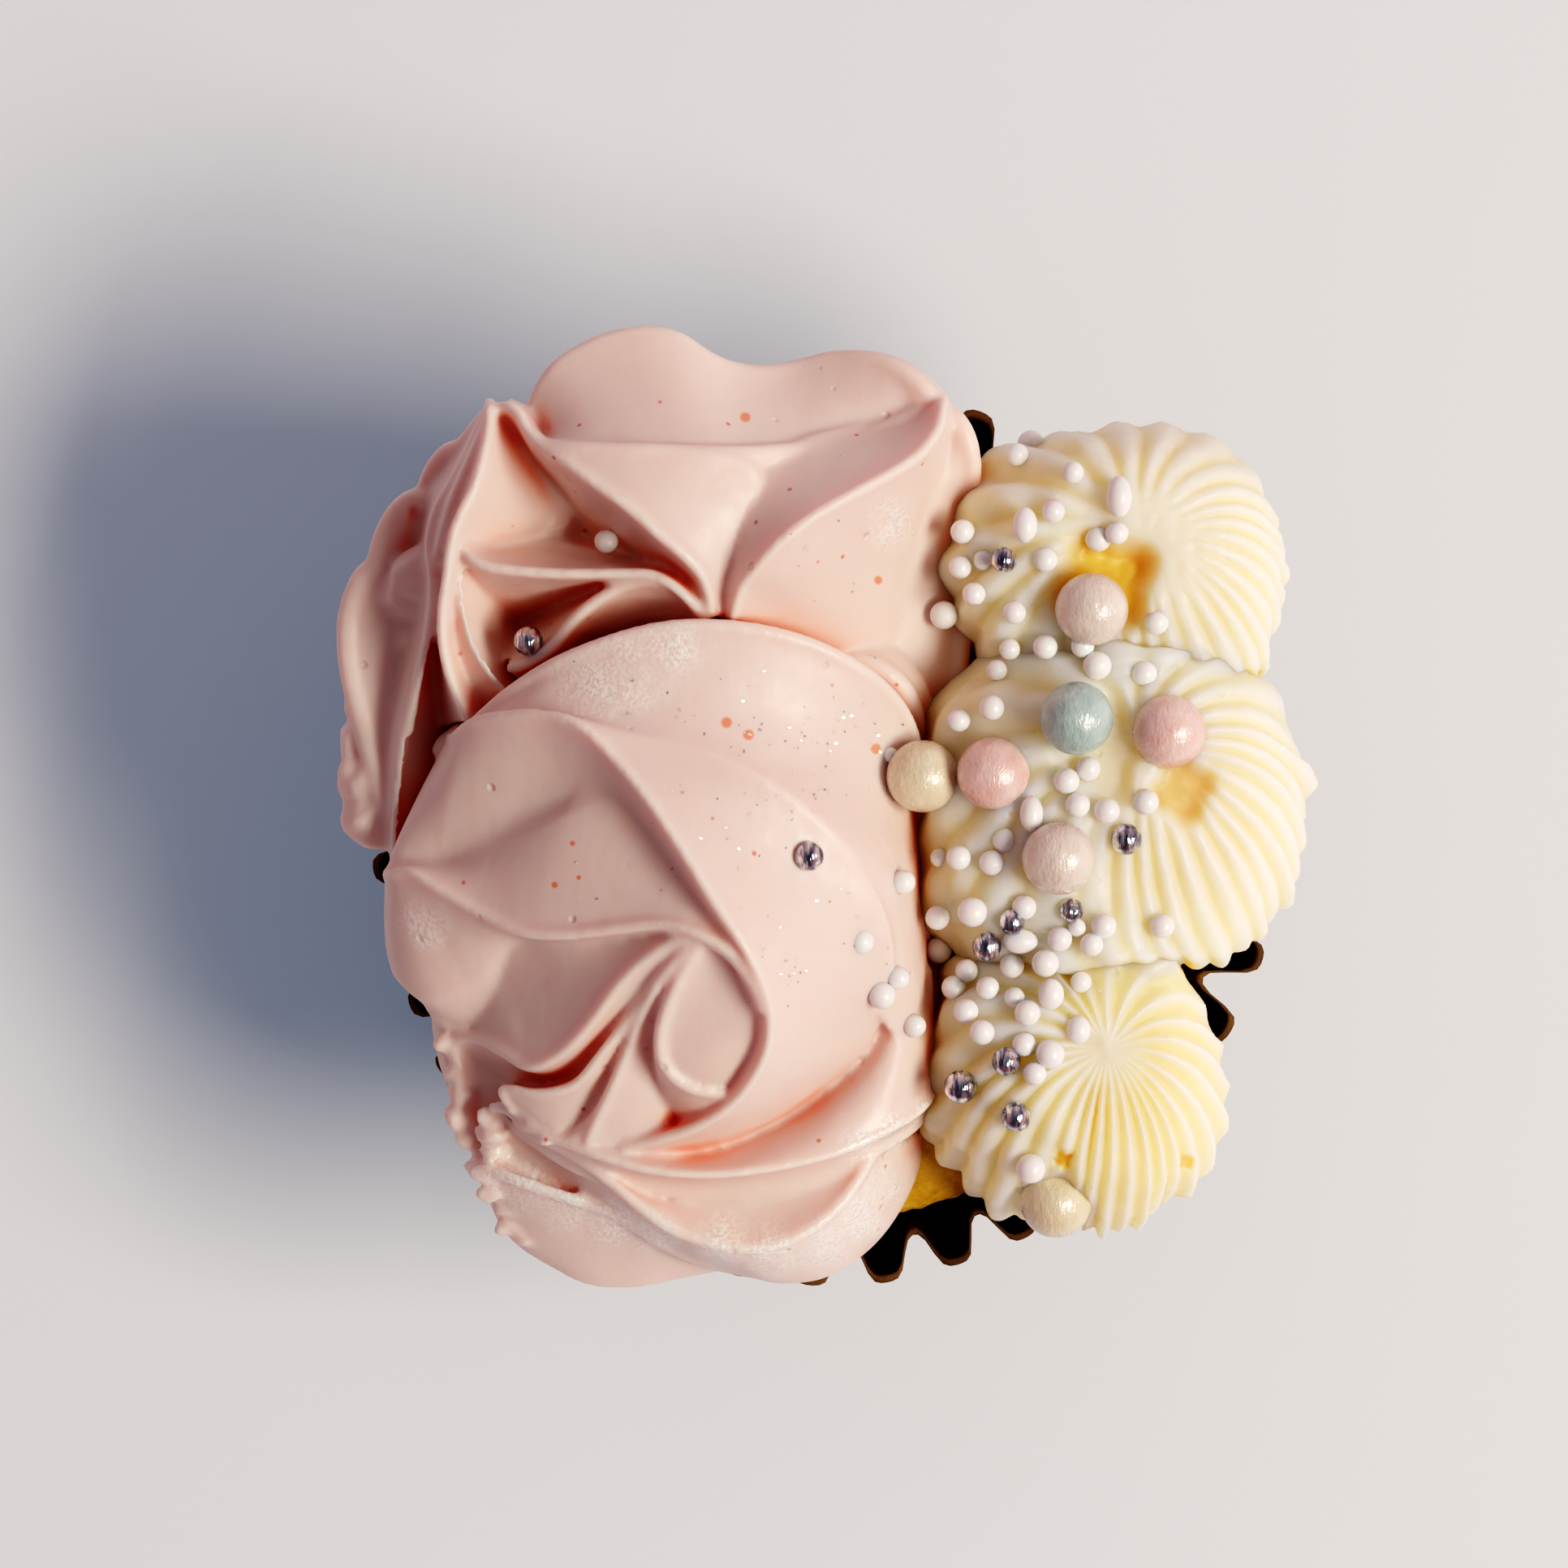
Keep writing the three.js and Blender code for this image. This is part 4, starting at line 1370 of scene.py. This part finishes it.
# Where the painted shade in the folds is made deeper, and where a number below 0 makes it paler as a
# painted glow; how far round there, and how much more.
PAINTED_SHADE_PLACES = [
    ((850, 1370, 50), 3.5, 0.22), ((790, 1000, 54), 4, 0.12), ((745, 1255, 50), 4, 0.12),
    ((760, 640, 44), 3, 0.1), ((640, 730, 43), 3, 0.1), ((950, 1420, 50), 4.5, -0.14),
    ((780, 1450, 46), 4.5, -0.16), ((640, 1430, 45), 5, -0.2)]

# Where the icing is wet and grainy, with a glossier coat and a painted highlight of whitish grainy
# glints, and how far round there, in millimetres.
WET_PLACES = [
    ((725, 845, 56), 4), ((775, 825, 57), 4), ((820, 800, 57.5), 3.2), ((890, 1532, 49), 2.8),
    ((950, 1545, 48.8), 3), ((1010, 1538, 48.5), 3), ((1060, 1505, 48), 3), ((1088, 1465, 48), 2.6),
    ((1060, 1412, 49.4), 2.2), ((1110, 1393, 49.4), 2.4), ((1145, 1374, 49.4), 2),
    ((608, 1440, 44.4), 2.6), ((645, 1466, 44.6), 3), ((695, 1490, 45), 3), ((750, 1506, 45.5), 3),
    ((805, 1520, 46), 2.6), ((520, 1140, 49), 2.5), ((1100, 650, 50), 2.5)]


def pink_buttercream(surface):
    material, tree, shader = new_material(
        "pink_buttercream", Coat_Weight=0.1, Coat_Roughness=0.25, Subsurface_Weight=0.65,
        Subsurface_Scale=0.003, Subsurface_Radius=(1.0, 0.4, 0.3), IOR=1.4)
    skin = use_group(tree, surface, **BUTTERCREAM)
    shade = coloured_specks(tree, pink_painted_shade(tree, skin["Tone"]))
    wet = wetness(tree)
    grain = clouds(tree, object_place(tree), 3000)
    # the wet places are painted whiter in grains, a painted highlight
    painted_glint = times(tree, wet, ranged(tree, grain, 0.42, 0.58, 0.4, 1.6), clamp=True)
    shade = blend(tree, painted_glint, shade, PAINTED_GLINT_WHITE)
    dry = ranged(tree, skin["Gloss"], 0, 1, 0.36, 0.52)
    height = plus(tree, skin["Height"], times(tree, times(tree, wet, grain), WET_RELIEF))
    drive(tree, shader, Base_Color=shade, Coat_Weight=ranged(tree, wet, 0, 0.5, 0.06, 0.8),
          Roughness=minus(tree, dry, times(tree, wet, 0.6), clamp=True))
    bumped(tree, shader, height, PINK_RELIEF)
    return material


def pink_painted_shade(tree, tone):
    """Painted shade, deep red-pink where the folds close in, and a painted highlight, paler on the
    crests; a little mottled.
    """
    # how closed in each point lies sets the painted shade
    depth = attribute(tree, "closed_in")
    for place, size, deeper in PAINTED_SHADE_PLACES:
        depth = plus(tree, depth, times(tree, nearness(tree, place, size), deeper))
    shade = ramp(tree, depth, PINK_PAINTED_SHADE_BY_DEPTH)
    # the crests are painted paler, a painted highlight
    crest = ranged(tree, attribute(tree, "stands_out"), 0.03, 0.2, 0, 0.5)
    shade = blend(tree, crest, shade, PINK_PAINTED_CREST_HIGHLIGHT)
    return blend(tree, ranged(tree, tone, 0.35, 0.65, 0, 0.22), shade, PINK_MOTTLE)


def coloured_specks(tree, shade):
    """Specks and larger blots of colour that didn't dissolve."""
    specks = picked_dots(tree, 400, (0.05, 0.1), (0.68, 0.7))
    shade = blend(tree, times(tree, specks, 0.7), shade, PIGMENT)
    for place, size in PIGMENT_BLOTS:
        shade = blend(tree, times(tree, nearness(tree, place, size, 0.6), 0.8), shade, ORANGE)
    return shade


def wetness(tree):
    """0 where the icing is dry, and up to half in the middle of a wet place."""
    wet = 0.0
    for place, size in WET_PLACES:
        wet = worked_out(tree, "MAXIMUM", wet, nearness(tree, place, size))
    patchy = ranged(tree, clouds(tree, object_place(tree), 330), 0.35, 0.6, 0.2, 0.55)
    return times(tree, wet, patchy)


# Yellow buttercream

# Golden between the ribs and paler along them; the ridge mark is lower on the left, as painted shade.
YELLOW_BY_RIDGE = [
    (0.0, color(0.88, 0.78, 0.48)), (0.3, color(0.89, 0.82, 0.60)), (0.6, color(0.89, 0.84, 0.69)),
    (0.85, color(0.89, 0.87, 0.77))]
# Painted shade: the yellow is multiplied darker and more golden the more it is closed in by the folds.
YELLOW_PAINTED_SHADE_BY_DEPTH = [
    (0.0, color(1, 1, 1)), (0.4, color(1, 0.99, 0.93)), (0.65, color(1, 0.89, 0.62)),
    (0.9, color(0.95, 0.62, 0.16))]
# painted shade on faces that turn to the left, away from the lamp
YELLOW_PAINTED_SHADE_SIDE = color(0.93, 0.80, 0.46)
YELLOW_MOTTLE = color(0.87, 0.78, 0.52)
# painted shade, deep gold, in the gouges
GOUGE_PAINTED_SHADE = color(0.84, 0.55, 0.10)
YELLOW_RELIEF = 0.1  # millimetres


def yellow_buttercream(surface):
    material, tree, shader = new_material(
        "yellow_buttercream", Coat_Weight=0.08, Coat_Roughness=0.3, Subsurface_Weight=0.9,
        Subsurface_Scale=0.007, Subsurface_Radius=(1.0, 0.75, 0.35), IOR=1.4)
    skin = use_group(tree, surface, **BUTTERCREAM)
    shade = ramp(tree, attribute(tree, "ridge"), YELLOW_BY_RIDGE)
    # faces that turn to the left, away from the lamp, get painted shade
    facing = add_node(tree, "NewGeometry").outputs["Normal"]
    facing = add_node(tree, "SeparateXYZ", {0: facing}).outputs["X"]
    shade = blend(tree, ranged(tree, facing, -0.25, -0.8, 0, 0.6), shade, YELLOW_PAINTED_SHADE_SIDE)
    shade = blend(tree, ranged(tree, skin["Tone"], 0.35, 0.7, 0, 0.3), shade, YELLOW_MOTTLE)
    shade = blend(tree, attribute(tree, "gouge_shading"), shade, GOUGE_PAINTED_SHADE)
    # painted shade in the folds, from how closed in each point lies
    depth = ramp(tree, attribute(tree, "closed_in"), YELLOW_PAINTED_SHADE_BY_DEPTH)
    shade = add_node(tree, "Mix", {0: 1.0, 6: shade, 7: depth}, data_type="RGBA",
                     blend_type="MULTIPLY").outputs[2]
    drive(tree, shader, Base_Color=shade, Roughness=ranged(tree, skin["Gloss"], 0, 1, 0.4, 0.55))
    bumped(tree, shader, skin["Height"], YELLOW_RELIEF)
    return material


# Sugar finishes

PEARL_TINTS = {
    "white_pearl": (color(0.80, 0.72, 0.68), color(0.70, 0.62, 0.57)),
    "blue_pearl": (color(0.50, 0.64, 0.64), color(0.34, 0.50, 0.50)),
    "pink_pearl": (color(0.83, 0.65, 0.63), color(0.77, 0.50, 0.48)),
    "cream_pearl": (color(0.79, 0.73, 0.58), color(0.70, 0.61, 0.44)),
}
SUGAR_WHITE = color(0.90, 0.93, 0.96)
SUGAR_GREY = color(0.85, 0.86, 0.89)
SILVER_BRIGHT = color(0.86, 0.86, 0.88)
# painted reflection of dark bluish surroundings, streaked into the metal
SILVER_PAINTED_REFLECTION = color(0.24, 0.27, 0.36)
GLITTER_COOL = color(0.50, 0.54, 0.64)
GLITTER_WARM = color(1.0, 0.93, 0.80)


def pearl_finish(name, lustre, shade, deeper):
    material, tree, shader = new_material(
        name, Coat_Weight=0.35, Coat_Roughness=0.28, Subsurface_Weight=0.25,
        Subsurface_Scale=0.001, Specular_IOR_Level=1.0)
    sheen = use_group(tree, lustre, Brush_Scale=1.0)
    tone = blend(tree, ranged(tree, sheen["Tone"], 0.35, 0.65), shade, deeper)
    # painted shade: darker towards the outline, where the pearl turns away from the camera
    edge = add_node(tree, "LayerWeight", {"Blend": 0.35}).outputs["Facing"]
    tone = blend(tree, times(tree, edge, 0.5), tone, darker(deeper, 0.9))
    drive(tree, shader, Base_Color=tone, Roughness=ranged(tree, sheen["Tone"], 0.3, 0.7, 0.18, 0.32))
    bumped(tree, shader, sheen["Height"], 0.16)
    return material


def white_sugar(surface):
    material, tree, shader = new_material(
        "white_sugar", Coat_Weight=0.3, Coat_Roughness=0.2, Subsurface_Weight=0.5,
        Subsurface_Scale=0.001)
    skin = use_group(tree, surface, **BUTTERCREAM)
    tone = blend(tree, ranged(tree, skin["Tone"], 0.3, 0.7), SUGAR_WHITE, SUGAR_GREY)
    drive(tree, shader, Base_Color=tone, Roughness=ranged(tree, skin["Gloss"], 0, 1, 0.3, 0.5))
    bumped(tree, shader, skin["Height"], 0.06)
    return material


def silver_sugar(surface):
    material, tree, shader = new_material("silver_sugar", Metallic=1.0)
    skin = use_group(tree, surface, **BUTTERCREAM)
    streaks = clouds(tree, stretched(tree, object_place(tree), (2600, 700, 700)), 1)
    # the metal is streaked with a painted dark reflection
    tone = blend(tree, ranged(tree, streaks, 0.4, 0.6), SILVER_BRIGHT, SILVER_PAINTED_REFLECTION)
    drive(tree, shader, Base_Color=tone, Roughness=ranged(tree, skin["Gloss"], 0, 1, 0.1, 0.28))
    bumped(tree, shader, streaks, 0.16)
    return material


def glitter_finish():
    material, tree, shader = new_material("glitter", Metallic=0.5)
    tint = clouds(tree, object_place(tree), 900, 1)
    tone = blend(tree, ranged(tree, tint, 0.44, 0.5), GLITTER_COOL, GLITTER_WARM)
    drive(tree, shader, Base_Color=tone, Roughness=ranged(tree, tint, 0.3, 0.7, 0.15, 0.35))
    return material


# Paper and cake

PAPER_DARK = color(0.045, 0.022, 0.009)
PAPER_LIGHT = color(0.08, 0.042, 0.017)
PAPER_RIM_BROWN = color(0.26, 0.14, 0.06)
RIM_BROWN_FROM = (36.1 * MM, 36.8 * MM)  # the heights between which the rim turns a lighter brown
CRUMB_BY_HEIGHT = [(0.45, color(0.48, 0.24, 0.02)), (0.75, color(0.74, 0.44, 0.04)),
                   (1.0, color(0.84, 0.58, 0.10))]


def dark_paper(fibre):
    material, tree, shader = new_material("dark_paper", Specular_IOR_Level=0.2)
    grain = use_group(tree, fibre, Fine_Grain=0.5)
    tone = blend(tree, ranged(tree, grain["Tone"], 0.35, 0.65), PAPER_DARK, PAPER_LIGHT)
    height = add_node(tree, "SeparateXYZ", {0: object_place(tree)}).outputs["Z"]
    patchy = ranged(tree, grain["Tone"], 0.3, 0.6, 0.2, 0.7)
    tone = blend(tree, times(tree, ranged(tree, height, *RIM_BROWN_FROM), patchy), tone, PAPER_RIM_BROWN)
    drive(tree, shader, Base_Color=tone, Roughness=ranged(tree, grain["Tone"], 0.3, 0.7, 0.5, 0.7))
    bumped(tree, shader, grain["Height"], 0.05)
    return material


def cake_crumb(fibre):
    material, tree, shader = new_material(
        "cake_crumb", Subsurface_Weight=0.15, Subsurface_Scale=0.002,
        Subsurface_Radius=(1.0, 0.6, 0.2))
    grain = use_group(tree, fibre, Fine_Grain=0.5)
    tone = ramp(tree, grain["Height"], CRUMB_BY_HEIGHT)
    drive(tree, shader, Base_Color=tone, Roughness=ranged(tree, grain["Tone"], 0.3, 0.7, 0.6, 0.85))
    bumped(tree, shader, grain["Height"], 0.15)
    return material


# The icing, the sugar, the case and the sponge

PEARL_SLOTS = {
    "pearl_white_back": "white_pearl",
    "pearl_blue": "blue_pearl",
    "pearl_pink_right": "pink_pearl",
    "pearl_pink_left": "pink_pearl",
    "pearl_cream_left": "cream_pearl",
    "pearl_white_middle": "white_pearl",
    "pearl_cream_front": "cream_pearl",
}

icing_skin = icing_surface()
fibre = fine_fibre()
lustre = pearl_lustre()
pink = pink_buttercream(icing_skin)
yellow = yellow_buttercream(icing_skin)

icing = {
    "pink_rosette_front": front_rosette(pink),
    "pink_rosette_back": back_rosette(pink),
}
for star in STARS:
    icing[star] = star_drop(star, yellow)
shade_in(list(icing.values()))
for node, piece in icing.items():
    mount(piece, "pink_icing" if node.startswith("pink") else "yellow_icing", node)

pearl_finishes = {slot: pearl_finish(slot, lustre, *tints) for slot, tints in PEARL_TINTS.items()}
for node, slot in PEARL_SLOTS.items():
    mount(pearl(node, pearl_finishes[slot]), slot, node)

skin = joined_tree([piece.data for piece in icing.values()])
mount(scattered("nonpareils", NONPAREILS + [ELONGATED], skin, 3, white_sugar(icing_skin)),
      "white_sugar")
mount(scattered("silver_balls", SILVER_BALLS, skin, 4, silver_sugar(icing_skin)), "silver_sugar")
mount(glitter(skin, glitter_finish()), "silver_sugar")
mount(paper_case(dark_paper(fibre)), "case_paper", "paper_case")
mount(sponge(cake_crumb(fibre)), "sponge_crumb", "sponge")


# Stage

FLOOR_SHADES = (color(0.745, 0.745, 0.745), color(0.755, 0.755, 0.755))
FLOOR_GLOW = color(0.015, 0.075, 0.12)  # a cool glow that the floor gives off everywhere, painted light that tints its shadows blue
FLOOR_HALF = 1.5  # metres
KEY_FROM = (0.61, -0.152, 0.777)  # towards the light
KEY_AWAY = 1.2  # metres
KEY_SIZE = (0.62, 0.32)
KEY_WATTS = 12.9
KEY_TINT = (1.0, 0.887, 0.745)
BRIGHT_SIDE = (0.5, 0.87, 0)  # the side of the room that has the windows
HORIZON_BRIGHT = color(0.92, 0.58, 0.58)
HORIZON_DIM = color(0.34, 0.12, 0.11)
OVERHEAD = color(0.10, 0.13, 0.15)

# The camera's response: how bright a brightness is shown.
TONES = [
    (0.015, 0.001), (0.04, 0.009), (0.08, 0.039), (0.15, 0.117), (0.25, 0.245), (0.4, 0.43),
    (0.6, 0.64), (0.8, 0.8)]
WHITE = 0.92


def placed(name, data):
    """A camera or a lamp in the scene."""
    made = bpy.data.objects.new(name, data)
    bpy.context.scene.collection.objects.link(made)
    return made


def floor_finish():
    material, tree, shader = new_material("pale_floor", Roughness=0.8, Emission_Color=FLOOR_GLOW,
                                          Emission_Strength=1.0)
    drive(tree, shader, Base_Color=blend(tree, clouds(tree, object_place(tree), 60), *FLOOR_SHADES))
    return material


def stage_floor():
    bm = bmesh.new()
    bmesh.ops.create_grid(bm, x_segments=1, y_segments=1, size=FLOOR_HALF)
    new_piece("floor", bm, floor_finish())


def camera_above():
    camera = placed("camera", bpy.data.cameras.new("camera"))
    camera.location = Vector(CAMERA_AT) * MM
    camera.data.sensor_width = SENSOR
    camera.data.lens = SENSOR * FOCAL_UNITS / FRAME_SIDE
    camera.data.clip_start = 0.01
    bpy.context.scene.camera = camera


def window_light():
    light = bpy.data.lights.new("window", "AREA")
    light.shape = "RECTANGLE"
    light.size, light.size_y = KEY_SIZE
    light.energy = KEY_WATTS
    light.color = KEY_TINT
    lamp = placed("window", light)
    towards = Vector(KEY_FROM).normalized()
    lamp.location = towards * KEY_AWAY
    lamp.rotation_euler = towards.to_track_quat("Z", "Y").to_euler()


def sky():
    """Warm at the horizon and brighter on one side, dim and bluish overhead."""
    world = bpy.data.worlds.new("studio")
    world.use_nodes = True
    tree = world.node_tree
    towards = add_node(tree, "TexCoord").outputs["Generated"]
    side = add_node(tree, "VectorMath", {0: towards, 1: BRIGHT_SIDE}, operation="DOT_PRODUCT")
    side = ranged(tree, side.outputs["Value"], -1, 1)
    height = ranged(tree, add_node(tree, "SeparateXYZ", {0: towards}).outputs["Z"], 0, 1)
    tint = blend(tree, height, blend(tree, side, HORIZON_DIM, HORIZON_BRIGHT), OVERHEAD)
    tree.links.new(tint, tree.nodes["Background"].inputs["Color"])
    bpy.context.scene.world = world


def respond():
    """Shows each brightness as the camera's response has it."""
    view = bpy.context.scene.view_settings
    view.view_transform = "Standard"
    view.use_curve_mapping = True
    curve = view.curve_mapping.curves[3]
    curve.points[-1].location = (1, WHITE)
    for place in TONES:
        curve.points.new(*place)
    view.curve_mapping.update()


stage_floor()
camera_above()
window_light()
sky()
respond()
